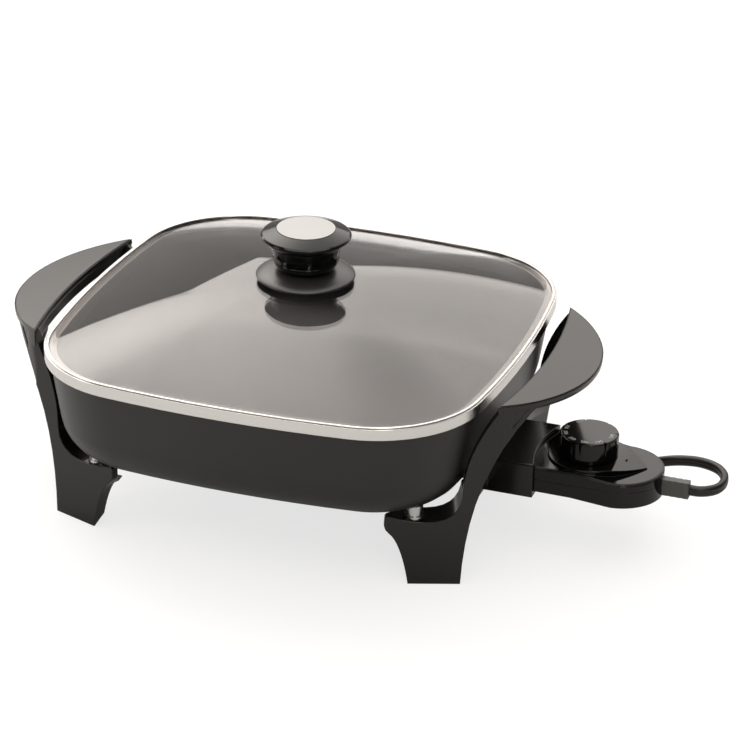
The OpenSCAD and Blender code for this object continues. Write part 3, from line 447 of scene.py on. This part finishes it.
# Depths and edges are in metres, and scales in waves to the metre.
FINISHES = {
    "coating": lambda: grained(
        "Pan Coating", colours().coating, 0.4, grain=2600, depth=0.000002, cloud=22,
        ior=1.52),
    "moulding": lambda: grained(
        "Handle Moulding", colours().moulding, 0.18, grain=3000, depth=0.000006, cloud=45,
        variation=0.04, edge=0.0011, ior=1.5),
    "knob": lambda: grained(
        "Knob Gloss", colours().gloss, 0.12, grain=4000, depth=0.0000005, cloud=60,
        variation=0.04, ior=1.45),
    "knob_flare": lambda: grained(
        "Knob Satin", colours().satin, 0.34, grain=4000, depth=0.000002, cloud=60,
        ior=1.65),
    "control": lambda: grained(
        "Control Gloss", colours().gloss, 0.08, grain=2500, depth=0.000001, cloud=60,
        variation=0.04, edge=0.0006, ior=1.4),
    "dial": lambda: grained(
        "Dial Gloss", colours().gloss, 0.12, grain=2400, depth=0.000002, cloud=80,
        edge=0.0004, ior=1.42),
    "pointer": lambda: grained(
        "Pointer Ink", colours().gloss, 0.9, grain=2500, depth=0.00001, ior=1.2),
    "ink": lambda: grained(
        "Dial Ink", colours().print_ink, 0.5, grain=2500, depth=0.00001, tint=0.2),
    "jacket": lambda: grained(
        "Cord Jacket", colours().jacket, 0.4, grain=1400, depth=0.00003, cloud=70),
    "relief": lambda: grained(
        "Relief Rubber", (0.11, 0.11, 0.105), 0.55, grain=1400, depth=0.00004),
    "steel": lambda: brushed(
        "Lid Steel", colours().steel, 0.2, scale=1200, stretch=0.02, side_stretch=0.02,
        variation=0.12, tint=0.15, depth=0.000004, edge=0.0007),
    # Darker copy of the lid steel for the ledge under the glass: painted shade.
    "ledge": lambda: brushed(
        "Ledge Steel", (0.2, 0.195, 0.185), 0.35, scale=1200, stretch=0.02,
        side_stretch=0.02, variation=0.12, tint=0.4, depth=0.000004),
    "badge": lambda: brushed(
        "Badge Silver", colours().badge, 0.32, scale=900, stretch=0.03, variation=0.2),
    "aluminium": lambda: brushed(
        "Turned Aluminium", (0.6, 0.6, 0.59), 0.3, scale=1500, stretch=0.05),
    "plated": lambda: brushed(
        "Plated Steel", (0.7, 0.7, 0.69), 0.22, scale=700, stretch=0.1),
    "zinc": lambda: brushed(
        "Zinc Plate", (0.6, 0.6, 0.55), 0.4, scale=300, stretch=0.5, variation=0.25,
        tint=0.25),
    "brass": lambda: brushed(
        "Brass", (0.78, 0.58, 0.28), 0.28, scale=900, stretch=0.1),
    "sheath": lambda: grained(
        "Element Sheath", (0.2, 0.185, 0.17), 0.5, grain=900, depth=0.00003, cloud=25,
        variation=0.2, tint=0.4, metallic=1.0),
    "ceramic": lambda: grained(
        "Ceramic", (0.78, 0.75, 0.68), 0.75, grain=2200, depth=0.00004, tint=0.08),
    "silicone": lambda: grained(
        "Silicone", (0.04, 0.038, 0.036), 0.6, grain=1800, depth=0.00002),
    "glass": lid_glass_finish,
}


# ---------------------------------------------------------------- stage


# The middle of the skillet, at which most lamps aim.
MIDDLE = Vector((0, 0, 0.1))
# The camera's place from the pan's centre, and its turn, rise and roll in radians.
CAMERA_PLACE = Vector((PAN_X + 0.65333, -1.79177, 0.99542))
CAMERA_TURN, CAMERA_RISE, CAMERA_ROLL = 0.328562, 0.445498, 0.0169772
# The part of its grey that the lamps alone give the floor, and its glow in mirrors.
FLOOR_LIT, MIRROR_GLOW = 0.9, 0.25
# Where the backdrop's glow lies, and the cosines at which it starts and is full.
BACKDROP_WAY = (-0.33, 0.94, 0.08)
BACKDROP_START, BACKDROP_FULL = 0.62, 0.9


def softbox(name, centre, size, radiance, target=MIDDLE):
    """Rectangular area lamp of a plain radiance, aimed at a point."""
    lamp = bpy.data.lights.new(name, "AREA")
    lamp.shape = "RECTANGLE"
    lamp.size, lamp.size_y = size
    lamp.energy = radiance * math.pi * size[0] * size[1]
    lamp.color = bpy.context.scene.skillet_stage.lamp_tint
    holder = bpy.data.objects.new(name, lamp)
    bpy.context.scene.collection.objects.link(holder)
    holder.location = centre
    aim = Vector(target) - Vector(centre)
    holder.rotation_euler = aim.to_track_quat("-Z", "Y").to_euler()
    return holder


def round_about(azimuth, elevation, distance):
    """Point seen from the skillet's middle, azimuth from +Y towards +X, in degrees."""
    a, e = math.radians(azimuth), math.radians(elevation)
    return Vector((math.sin(a) * math.cos(e), math.cos(a) * math.cos(e),
                   math.sin(e))) * distance + MIDDLE


class SKILLET_OT_stage(Operator):
    """Set the camera, the floor and the lamps"""

    bl_idname = "skillet.stage"
    bl_label = "Stage"

    def execute(self, context):
        stage = context.scene.skillet_stage
        camera = bpy.data.cameras.new("Camera")
        camera.lens, camera.sensor_width = stage.lens, 36
        camera.clip_end = 50
        holder = bpy.data.objects.new("Camera", camera)
        context.scene.collection.objects.link(holder)
        back = Vector((math.sin(CAMERA_TURN) * math.cos(CAMERA_RISE),
                       -math.cos(CAMERA_TURN) * math.cos(CAMERA_RISE),
                       math.sin(CAMERA_RISE)))
        level = (-back).cross(Vector((0, 0, 1))).normalized()
        over = level.cross(-back)
        right = math.cos(CAMERA_ROLL) * level + math.sin(CAMERA_ROLL) * over
        upward = -math.sin(CAMERA_ROLL) * level + math.cos(CAMERA_ROLL) * over
        holder.matrix_world = Matrix([
            (right[i], upward[i], back[i], CAMERA_PLACE[i]) for i in range(3)]
            + [(0, 0, 0, 1)])
        context.scene.camera = holder

        bpy.ops.mesh.primitive_plane_add(size=30, location=(0, 0, -0.0002))
        floor = context.object
        floor.name = "Floor"
        settle(floor)
        floor.data.materials.append(self.floor_finish(stage))

        back = softbox("Back Softbox", round_about(-19, 49, 2.3), (4.2, 2.75),
                       stage.back_light)
        self.hot_spot(back, round_about(-50, 43, 2.65), 1.5,
                      stage.hot_light / stage.back_light)
        softbox("Top Softbox", (0.1, -0.85, 2.3), (2.6, 3.0), stage.top_light,
                target=(0.1, -0.85, 0))
        softbox("Front Strip", round_about(150, 30, 2.6), (0.5, 1.5), stage.front_light)
        softbox("Left Card", round_about(-80, 13, 2.2), (1.8, 0.8), stage.card_light)
        softbox("Left Strip", round_about(-121, 20, 2.6), (0.6, 1.7), stage.front_light)
        self.room(stage)
        context.scene.view_settings.view_transform = "Standard"
        return {"FINISHED"}

    def hot_spot(self, holder, middle, reach, gain):
        """Lets a softbox grow brighter towards one point of it."""
        lamp = holder.data
        lamp.use_nodes = True
        tree = lamp.node_tree
        place = add(tree, "ShaderNodeNewGeometry")
        away = add(tree, "ShaderNodeVectorMath",
                   {0: place.outputs["Position"], 1: middle}, operation="DISTANCE")
        power = add(tree, "ShaderNodeMapRange",
                    {"Value": away.outputs["Value"], "From Min": 0.0, "From Max": reach,
                     "To Min": 1 + gain, "To Max": 1.0}, interpolation_type="SMOOTHSTEP")
        tree.links.new(power.outputs[0], tree.nodes["Emission"].inputs["Strength"])

    def floor_finish(self, stage):
        """Pale paper: white to the camera, grey in reflections, with its shadows."""
        material = bpy.data.materials.new("Studio Floor")
        material.use_nodes = True
        tree = material.node_tree
        tree.nodes.clear()
        path = add(tree, "ShaderNodeLightPath")
        mirrored = add(tree, "ShaderNodeMath",
                       {0: path.outputs["Is Glossy Ray"],
                        1: stage.mirror_grey * MIRROR_GLOW}, operation="MULTIPLY")
        seen = add(tree, "ShaderNodeMath",
                   {0: path.outputs["Is Camera Ray"],
                    1: path.outputs["Is Transmission Ray"]},
                   operation="ADD", use_clamp=True)
        glow = add(tree, "ShaderNodeMath",
                   {0: seen.outputs[0], 1: 1 - stage.floor_grey * FLOOR_LIT,
                    2: mirrored.outputs[0]}, operation="MULTIPLY_ADD")
        grey = add(tree, "ShaderNodeMapRange",
                   {"Value": path.outputs["Is Glossy Ray"], "To Min": stage.floor_grey,
                    "To Max": stage.mirror_grey})
        paper = add(tree, "ShaderNodeBsdfDiffuse", {"Color": grey.outputs[0]})
        light = add(tree, "ShaderNodeEmission",
                    {"Color": (1, 1, 1, 1), "Strength": glow.outputs[0]})
        both = add(tree, "ShaderNodeAddShader", {0: paper.outputs[0], 1: light.outputs[0]})
        out = add(tree, "ShaderNodeOutputMaterial")
        tree.links.new(both.outputs[0], out.inputs["Surface"])
        return material

    def room(self, stage):
        """Dim room with a low glow behind the skillet, white to the camera.

        Rays that come through the glass see it white too, until they mirror.
        """
        world = bpy.data.worlds.new("Studio Room")
        bpy.context.scene.world = world
        world.use_nodes = True
        tree = world.node_tree
        path = add(tree, "ShaderNodeLightPath")
        mirrored = add(tree, "ShaderNodeMath", {0: path.outputs["Glossy Depth"], 1: 0.5},
                       operation="LESS_THAN")
        through = add(tree, "ShaderNodeMath",
                      {0: path.outputs["Is Transmission Ray"], 1: mirrored.outputs[0]},
                      operation="MULTIPLY")
        seen = add(tree, "ShaderNodeMath",
                   {0: path.outputs["Is Camera Ray"], 1: through.outputs[0]},
                   operation="ADD", use_clamp=True)
        place = add(tree, "ShaderNodeTexCoord")
        behind = add(tree, "ShaderNodeVectorMath",
                     {0: place.outputs["Generated"], 1: BACKDROP_WAY},
                     operation="DOT_PRODUCT")
        backdrop = add(tree, "ShaderNodeMapRange",
                       {"Value": behind.outputs["Value"], "From Min": BACKDROP_START,
                        "From Max": BACKDROP_FULL, "To Min": stage.room,
                        "To Max": stage.room + stage.backdrop_light},
                       interpolation_type="SMOOTHSTEP")
        value = add(tree, "ShaderNodeMapRange",
                    {"Value": seen.outputs[0], "To Min": backdrop.outputs[0],
                     "To Max": 1.0})
        background = tree.nodes["Background"]
        tint = add(tree, "ShaderNodeMix",
                   {"Factor": seen.outputs[0], "A": (*stage.lamp_tint, 1),
                    "B": (1, 1, 1, 1)}, data_type="RGBA")
        tree.links.new(tint.outputs["Result"], background.inputs["Color"])
        tree.links.new(value.outputs[0], background.inputs["Strength"])


# ---------------------------------------------------------------- cord


# The cord's way from the strain relief to its coil, in metres.
CORD_ROUTE = [
    (0.23075, -0.002, 0.0451), (0.23625, -0.002, 0.0451), (0.24175, 0.0004, 0.0451),
    (0.24635, 0.0052, 0.0451), (0.24835, 0.012, 0.0451), (0.24775, 0.0204, 0.0451),
    (0.24475, 0.0275, 0.045), (0.24005, 0.033, 0.0448), (0.23325, 0.037, 0.0445),
    (0.22575, 0.0392, 0.044), (0.21775, 0.04, 0.043), (0.20975, 0.0402, 0.0415),
    (0.20075, 0.041, 0.0385), (0.19075, 0.0435, 0.0335), (0.18075, 0.048, 0.027),
    (0.17075, 0.054, 0.0195), (0.16075, 0.0615, 0.0125), (0.15075, 0.0705, 0.0075),
    (0.13975, 0.081, 0.0048), (0.12875, 0.0915, 0.0038), (0.11575, 0.101, 0.0038),
    (0.10175, 0.108, 0.0038), (0.08575, 0.1135, 0.0038), (0.06975, 0.1185, 0.0038),
    (0.05475, 0.125, 0.0038), (0.04175, 0.1345, 0.0038), (0.03175, 0.147, 0.0038),
    (0.02475, 0.161, 0.0038), (0.02135, 0.174, 0.0038), (0.02075, 0.186, 0.0038),
]
# The coil's centre, its steps, the turn of each and how far they lag, in degrees.
COIL_CENTRE = (-0.01825, 0.188)
COIL_STEPS, COIL_STEP, COIL_LAG = 22, 20, 3
# The cord's middle on the floor, and the rise of the turn that crosses over.
CORD_REST, CROSSING_RISE = 0.0038, 0.0071
# The way from the coil to the plug.
TAIL_ROUTE = [
    (-0.02825, 0.227, 0.0109), (-0.04025, 0.227, 0.0101), (-0.05225, 0.227, 0.0084),
    (-0.06225, 0.227, 0.0071), (-0.07025, 0.227, 0.0071),
]


def cord_centreline(sizes):
    """Route, one and a quarter turns of the coil, and the tail, as a smooth path."""
    points = [Vector(p) for p in CORD_ROUTE]
    for step in range(1, COIL_STEPS + 1):
        angle = math.radians(step * COIL_STEP - COIL_LAG)
        # It climbs between 270 and 345 degrees, and then lies over its own start.
        rise = min(1, max(0, (step * COIL_STEP - 270) / 75))
        rise = rise * rise * (3 - 2 * rise)
        points.append(Vector((COIL_CENTRE[0] + sizes.coil_radius * math.cos(angle),
                              COIL_CENTRE[1] + sizes.coil_radius * math.sin(angle),
                              CORD_REST + CROSSING_RISE * rise)))
    points += [Vector(p) for p in TAIL_ROUTE]
    path = []
    last = len(points) - 1
    for i in range(last):
        a, b, c, d = (points[max(0, min(last, i + k))] for k in (-1, 0, 1, 2))
        for k in range(5):
            t = k / 5
            path.append(0.5 * (2 * b + (c - a) * t + (2 * a - 5 * b + 4 * c - d) * t * t
                               + (3 * b - a - 3 * c + d) * t * t * t))
    path.append(points[-1])
    return path


class SKILLET_OT_cord(Operator):
    """Lay the cord and its coil, make the plug, and finish the tie"""

    bl_idname = "skillet.cord"
    bl_label = "Cord"

    def execute(self, context):
        sizes = context.scene.skillet_sizes
        path = cord_centreline(sizes)
        cord = self.twin_cord(path, sizes)
        dress(cord, "jacket", "heat_control", ("cord", "cord_coil", "cord_tail"))
        plug = self.plug()
        paint("jacket", "cord_tie")
        paint("brass", "plug_blades")
        paint("relief", "strain_relief")
        return {"FINISHED"}

    def twin_cord(self, path, sizes):
        """Two round cores side by side in one jacket, standing on edge."""
        half = sizes.cord_thickness / 2
        offset = sizes.cord_width / 2 - half
        outline = []
        for side in (1, -1):
            for k in range(9):
                angle = math.radians(-40 + 260 * k / 8) + (0 if side > 0 else math.pi)
                outline.append((half * math.cos(angle),
                                side * offset + half * math.sin(angle)))
        bm = bmesh.new()
        rings = []
        for i, p in enumerate(path):
            along = (path[min(i + 1, len(path) - 1)] - path[max(i - 1, 0)]).normalized()
            across = along.cross(Vector((0, 0, 1))).normalized()
            up = across.cross(along)
            rings.append([bm.verts.new(p + across * x + up * y) for x, y in outline])
        n = len(outline)
        for a, b in zip(rings, rings[1:]):
            for k in range(n):
                bm.faces.new((a[k], a[(k + 1) % n], b[(k + 1) % n], b[k]))
        bm.faces.new(list(reversed(rings[0])))
        bm.faces.new(rings[-1])
        bmesh.ops.recalc_face_normals(bm, faces=bm.faces)
        mesh = bpy.data.meshes.new("flat_cord")
        bm.to_mesh(mesh)
        bm.free()
        cord = new_piece("flat_cord", mesh)
        smooth(cord, 50)
        return cord

    def plug(self):
        """Moulded two-pin plug with a waist, and a taper towards the cord."""
        low, high = (Vector(c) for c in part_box("plug_body"))
        centre, size = (low + high) / 2, high - low
        bpy.ops.mesh.primitive_cube_add(size=1, location=centre)
        plug = bpy.context.object
        plug.name = "plug_moulding"
        plug.scale = size
        settle(plug)
        bpy.ops.object.mode_set(mode="EDIT")
        bpy.ops.mesh.subdivide(number_cuts=5)
        bpy.ops.object.mode_set(mode="OBJECT")
        for v in plug.data.vertices:
            t = (v.co.x - low.x) / size.x
            waist = 1 - 0.3 * math.exp(-((t - 0.55) / 0.2) ** 2)
            taper = 0.35 * max(0, t - 0.7) / 0.3
            slope = 0.3 * max(0, t - 0.75) / 0.25
            v.co.y = centre.y + (v.co.y - centre.y) * (waist - taper)
            v.co.z = centre.z + (v.co.z - centre.z) * (1 - slope)
        round_edges(plug, 0.0025, 50, segments=3, shade=40, flat=False)
        return dress(plug, "jacket", "heat_control", ("plug_body",))


# ---------------------------------------------------------------- pan and handles


class SKILLET_OT_pan(Operator):
    """Finish the pan, its element, pins and insulators"""

    bl_idname = "skillet.pan"
    bl_label = "Pan"

    def execute(self, context):
        pan = merged_copy("pan", "cast_pan")
        smooth(pan, 28)
        dress(pan, "coating", "skillet", ("pan",))
        paint("sheath", "heating_element")
        paint("plated", "terminal_pins")
        paint("ceramic", "terminal_insulators")
        return {"FINISHED"}


class SKILLET_OT_handles(Operator):
    """Round the handle mouldings' edges and finish their standoffs and screws"""

    bl_idname = "skillet.handles"
    bl_label = "Handles"

    def execute(self, context):
        for side in ("left", "right"):
            handle = merged_copy(f"{side}_handle", f"{side}_moulding")
            round_edges(handle, 0.0006, 35)
            dress(handle, "moulding", "skillet", (f"{side}_handle",))
        paint("aluminium", "leg_standoffs")
        paint("plated", "leg_screws")
        return {"FINISHED"}


# ---------------------------------------------------------------- lid and knob


# The lid's outline, in millimetres.
SIDE_RADIUS = 714
CORNER_RADIUS = 71.3
# The glass, in millimetres: how far inside the outline it starts, and its own sizes.
GLASS_INSET = 1.95
GLASS_THICKNESS = 3.6
GLASS_EDGE = 0.5
SCREW_HOLE = 4
# The outline's scale where the dome starts and at its crown, and the dome's power.
FLAT_SCALE = 0.985
CROWN_SCALE = 0.08
DOME_POWER = 1.8


def bowed_outline(inset, steps=16):
    """Square with bowed sides and round corners, moved in by inset, in millimetres."""
    low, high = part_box("lid_band")
    shift = SIDE_RADIUS - (high[0] - low[0]) / 2 / MM
    reach = SIDE_RADIUS - CORNER_RADIUS
    corner = (math.sqrt(2 * reach * reach - shift * shift) - shift) / 2
    lean = math.atan2(corner, corner + shift)
    points = []
    for quarter in range(4):
        for i in range(2 * steps):
            if i < steps:
                angle = lean * (2 * i / steps - 1)
                radius, centre = SIDE_RADIUS, (-shift, 0)
            else:
                angle = lean + (math.pi / 2 - 2 * lean) * (i / steps - 1)
                radius, centre = CORNER_RADIUS, (corner, corner)
            x = centre[0] + (radius - inset) * math.cos(angle)
            y = centre[1] + (radius - inset) * math.sin(angle)
            turn = quarter * math.pi / 2
            points.append((x * math.cos(turn) - y * math.sin(turn),
                           x * math.sin(turn) + y * math.cos(turn)))
    return points


class SKILLET_OT_lid(Operator):
    """Smooth the lid glass and finish its steel band"""

    bl_idname = "skillet.lid"
    bl_label = "Lid"

    def execute(self, context):
        glass = self.domed_glass(context.scene.skillet_sizes.glass_rings)
        smooth(glass, 50)
        dress(glass, "glass", "lid", ("lid_glass",))
        band = merged_copy("lid_band", "steel_band")
        round_edges(band, 0.00025, 40)
        dress(band, "steel", "lid", ("lid_band",))
        band.data.materials.append(FINISHES["ledge"]())
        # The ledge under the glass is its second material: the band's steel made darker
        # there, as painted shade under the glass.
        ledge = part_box("lid_glass")[0][2]
        for face in band.data.polygons:
            if face.normal.z > 0.9 and abs(face.center.z - ledge) < 0.0003:
                face.material_index = 1
        return {"FINISHED"}

    def domed_glass(self, rings):
        """Glass lofted through bowed squares, round a hole for the knob's screw."""
        low, high = (corner[2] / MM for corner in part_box("lid_glass"))
        rise = high - low - GLASS_THICKNESS
        dome = []
        for i in range(rings + 1):
            t = i / rings
            scale = FLAT_SCALE + (CROWN_SCALE - FLAT_SCALE) * t
            dome.append((GLASS_INSET, rise * (1 - (1 - t) ** DOME_POWER), scale))
        outer = [(GLASS_INSET + GLASS_EDGE, 0, 1)] + dome
        levels = [(inset, low + z, k) for inset, z, k in reversed(outer)]
        levels += [(GLASS_INSET, low + GLASS_EDGE, 1),
                   (GLASS_INSET, low + GLASS_THICKNESS - GLASS_EDGE, 1)]
        levels += [(inset, low + GLASS_THICKNESS + z, k) for inset, z, k in outer]
        loops = [[Vector((x * k, y * k, z)) for x, y in bowed_outline(inset)]
                 for inset, z, k in levels]
        for end in (0, -1):
            hole = [Vector((v.x, v.y, 0)).normalized() * SCREW_HOLE + Vector((0, 0, v.z))
                    for v in loops[end]]
            loops.insert(0 if end == 0 else len(loops), hole)
        n = len(loops[0])
        faces = []
        for i in range(len(loops)):
            j = (i + 1) % len(loops)
            faces += [(i * n + k, i * n + (k + 1) % n, j * n + (k + 1) % n, j * n + k)
                      for k in range(n)]
        mesh = bpy.data.meshes.new("domed_glass")
        mesh.from_pydata([at_pan(*v) for loop in loops for v in loop], [], faces)
        glass = new_piece("domed_glass", mesh)
        edit(glass)
        bpy.ops.mesh.normals_make_consistent(inside=False)
        bpy.ops.object.mode_set(mode="OBJECT")
        return glass


class SKILLET_OT_knob(Operator):
    """Finish the knob, its badge and its fastening"""

    bl_idname = "skillet.knob"
    bl_label = "Knob"

    def execute(self, context):
        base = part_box("knob_skirt")[0][2] / MM
        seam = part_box("knob_skirt")[1][2] / MM
        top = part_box("knob_badge")[1][2] / MM
        skirt = revolved("knob_flare", [
            (4.7, base), (12.4, base), (13.2, base + 0.5), (29.8, base + 0.5),
            (30.9, base + 0.6), (31.4, base + 1.2), (31.4, base + 1.6), (30.8, base + 2.2),
            (29.2, base + 3.2), (27, base + 4.1), (24, base + 4.9), (20, seam - 0.3),
            (14.6, seam - 0.1), (13.8, seam - 0.4), (13.8, seam), (4.7, seam),
            (4.7, base)], at_pan(0, 0, 0))
        round_edges(skirt, 0.0004, 12, segments=3, shade=50, flat=False)
        dress(skirt, "knob_flare", "lid", ("knob_skirt",))
        grip = revolved("knob_cap", [
            (4.53, seam), (15.4, seam), (17.8, seam + 1.4), (19.6, seam + 3),
            (20.6, seam + 5), (21, seam + 6.2), (20.5, seam + 6.6), (21, seam + 7),
            (21, seam + 10), (22, top - 13.4), (24, top - 9.6), (27.6, top - 6.4),
            (28.8, top - 5), (28.6, top - 4.2), (27.4, top - 3.2), (18.8, top - 0.4),
            (18.5, top - 0.4), (18.5, top - 1.2), (4.53, top - 1.2), (4.53, seam)],
            at_pan(0, 0, 0))
        round_edges(grip, 0.0005, 12, segments=3, shade=50, flat=False)
        dress(grip, "knob", "lid", ("knob_grip",))
        paint("badge", "knob_badge")
        paint("brass", "knob_insert")
        paint("plated", "knob_screw", "knob_washer")
        paint("silicone", "knob_gaskets")
        return {"FINISHED"}


# ---------------------------------------------------------------- heat control


# Where the pad's top starts to fall, from the dial's axis, and how steeply.
PAD_BEND = 0.0185
PAD_FALL = 0.18
# The printed pointer's place from the dial's axis, its radius and its thickness.
POINTER_PLACE = (0.0242, 0.0006)
POINTER_RADIUS, POINTER_PRINT = 0.0019, 0.00012


class SKILLET_OT_heat_control(Operator):
    """Round the heat control's housings and finish what they hold"""

    bl_idname = "skillet.heat_control"
    bl_label = "Heat control"

    def execute(self, context):
        cover = merged_copy("control_cover", "control_shell")
        self.lower_pad_tip(cover)
        round_edges(cover, 0.0003, 40)
        dress(cover, "control", "heat_control", ("control_cover",))
        base = merged_copy("control_base", "control_tray")
        round_edges(base, 0.0004, 40)
        dress(base, "control", "heat_control", ("control_base",))
        paint("plated", "control_screws", "probe", "bimetal_blade")
        paint("brass", "terminal_sockets", "contact_blades")
        paint("zinc", "thermostat_frame")
        paint("ceramic", "contact_posts")
        self.pointer()
        return {"FINISHED"}

    def lower_pad_tip(self, cover):
        """Lets the pad's top fall towards its tip."""
        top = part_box("control_cover")[1][2]
        bend = DIAL_AXIS.x + PAD_BEND
        edit(cover)
        bpy.ops.mesh.bisect(plane_co=(bend, 0, 0), plane_no=(1, 0, 0))
        bpy.ops.object.mode_set(mode="OBJECT")
        for v in cover.data.vertices:
            if v.co.z > top - 0.0005 and v.co.x > bend:
                v.co.z -= (v.co.x - bend) * PAD_FALL

    def pointer(self):
        """Small printed triangle that the dial's figures turn past."""
        deselect()
        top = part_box("control_cover")[1][2]
        x, y = POINTER_PLACE
        bpy.ops.mesh.primitive_cylinder_add(
            vertices=3, radius=POINTER_RADIUS, depth=POINTER_PRINT,
            rotation=(0, 0, math.pi / 2))
        mark = bpy.context.object
        mark.name = "pad_pointer"
        mark.location = (DIAL_AXIS.x + x, DIAL_AXIS.y + y,
                         top - (x - PAD_BEND) * PAD_FALL)
        settle(mark)
        modify(mark, "BEVEL", width=0.0001, segments=2, affect="EDGES")
        dress(mark, "pointer", "heat_control", ())


# The dial's print with its angles from +X in degrees, the reach from the dial's axis
# to the figures' feet, and half the print's thickness.
DIAL_PRINT = (("OFF", -5), ("150", -52), ("200", -86), ("250", -120), ("300", -155),
              ("350", 174), ("400", 128))
FIGURE_REACH, FIGURE_PRINT = 0.0166, 0.00003


class SKILLET_OT_dial(Operator):
    """Finish the dial and print its figures"""

    bl_idname = "skillet.dial"
    bl_label = "Dial"

    def execute(self, context):
        dial = merged_copy("dial", "dial_moulding")
        round_edges(dial, 0.0003, 35)
        dress(dial, "dial", "temperature_dial", ("dial",))
        paint("plated", "dial_shaft", "dial_screw")
        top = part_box("dial")[1][2]
        height = context.scene.skillet_sizes.figure_height
        for word, angle in DIAL_PRINT:
            self.figure(word, math.radians(angle), top, height)
        return {"FINISHED"}

    def figure(self, word, turn, top, height):
        """One printed figure, its foot towards the dial's rim."""
        deselect()
        bpy.ops.object.text_add(location=(0, 0, 0))
        figure = bpy.context.object
        figure.name = f"dial_figure_{word}"
        figure.data.body = word
        figure.data.size = height
        figure.data.align_x, figure.data.align_y = "CENTER", "BOTTOM"
        figure.data.extrude = FIGURE_PRINT
        bpy.ops.object.convert(target="MESH")
        figure.rotation_euler = (0, 0, turn + math.pi / 2)
        figure.location = (DIAL_AXIS.x + FIGURE_REACH * math.cos(turn),
                           DIAL_AXIS.y + FIGURE_REACH * math.sin(turn),
                           top + FIGURE_PRINT)
        settle(figure)
        dress(figure, "ink", "temperature_dial", ())


class SKILLET_PT_panel(Panel):
    """Buttons that make each group of pieces"""

    bl_idname = "SKILLET_PT_panel"
    bl_label = "Electric Skillet"
    bl_space_type = "VIEW_3D"
    bl_region_type = "UI"
    bl_category = "Skillet"

    def draw(self, context):
        for name in STEPS:
            self.layout.operator(f"skillet.{name}")
        for group in ("skillet_stage", "skillet_colours", "skillet_sizes"):
            settings = getattr(context.scene, group)
            box = self.layout.box()
            for field in settings.bl_rna.properties:
                if not field.is_readonly and field.identifier != "name":
                    box.prop(settings, field.identifier)


STEPS = ("stage", "cord", "pan", "handles", "lid", "knob", "heat_control", "dial")
CLASSES = (
    SkilletStage, SkilletColours, SkilletSizes, SKILLET_OT_stage, SKILLET_OT_cord,
    SKILLET_OT_pan, SKILLET_OT_handles, SKILLET_OT_lid, SKILLET_OT_knob,
    SKILLET_OT_heat_control, SKILLET_OT_dial, SKILLET_PT_panel,
)


def register():
    """Makes the settings, the operators and the panel known."""
    for cls in CLASSES:
        bpy.utils.register_class(cls)
    bpy.types.Scene.skillet_stage = PointerProperty(type=SkilletStage)
    bpy.types.Scene.skillet_colours = PointerProperty(type=SkilletColours)
    bpy.types.Scene.skillet_sizes = PointerProperty(type=SkilletSizes)


def unregister():
    """Takes them away again."""
    for group in ("skillet_stage", "skillet_colours", "skillet_sizes"):
        delattr(bpy.types.Scene, group)
    for cls in reversed(CLASSES):
        bpy.utils.unregister_class(cls)


def main():
    """Makes every piece."""
    register()
    for name in STEPS:
        getattr(bpy.ops.skillet, name)()
    deselect()


if __name__ == "__main__":
    main()
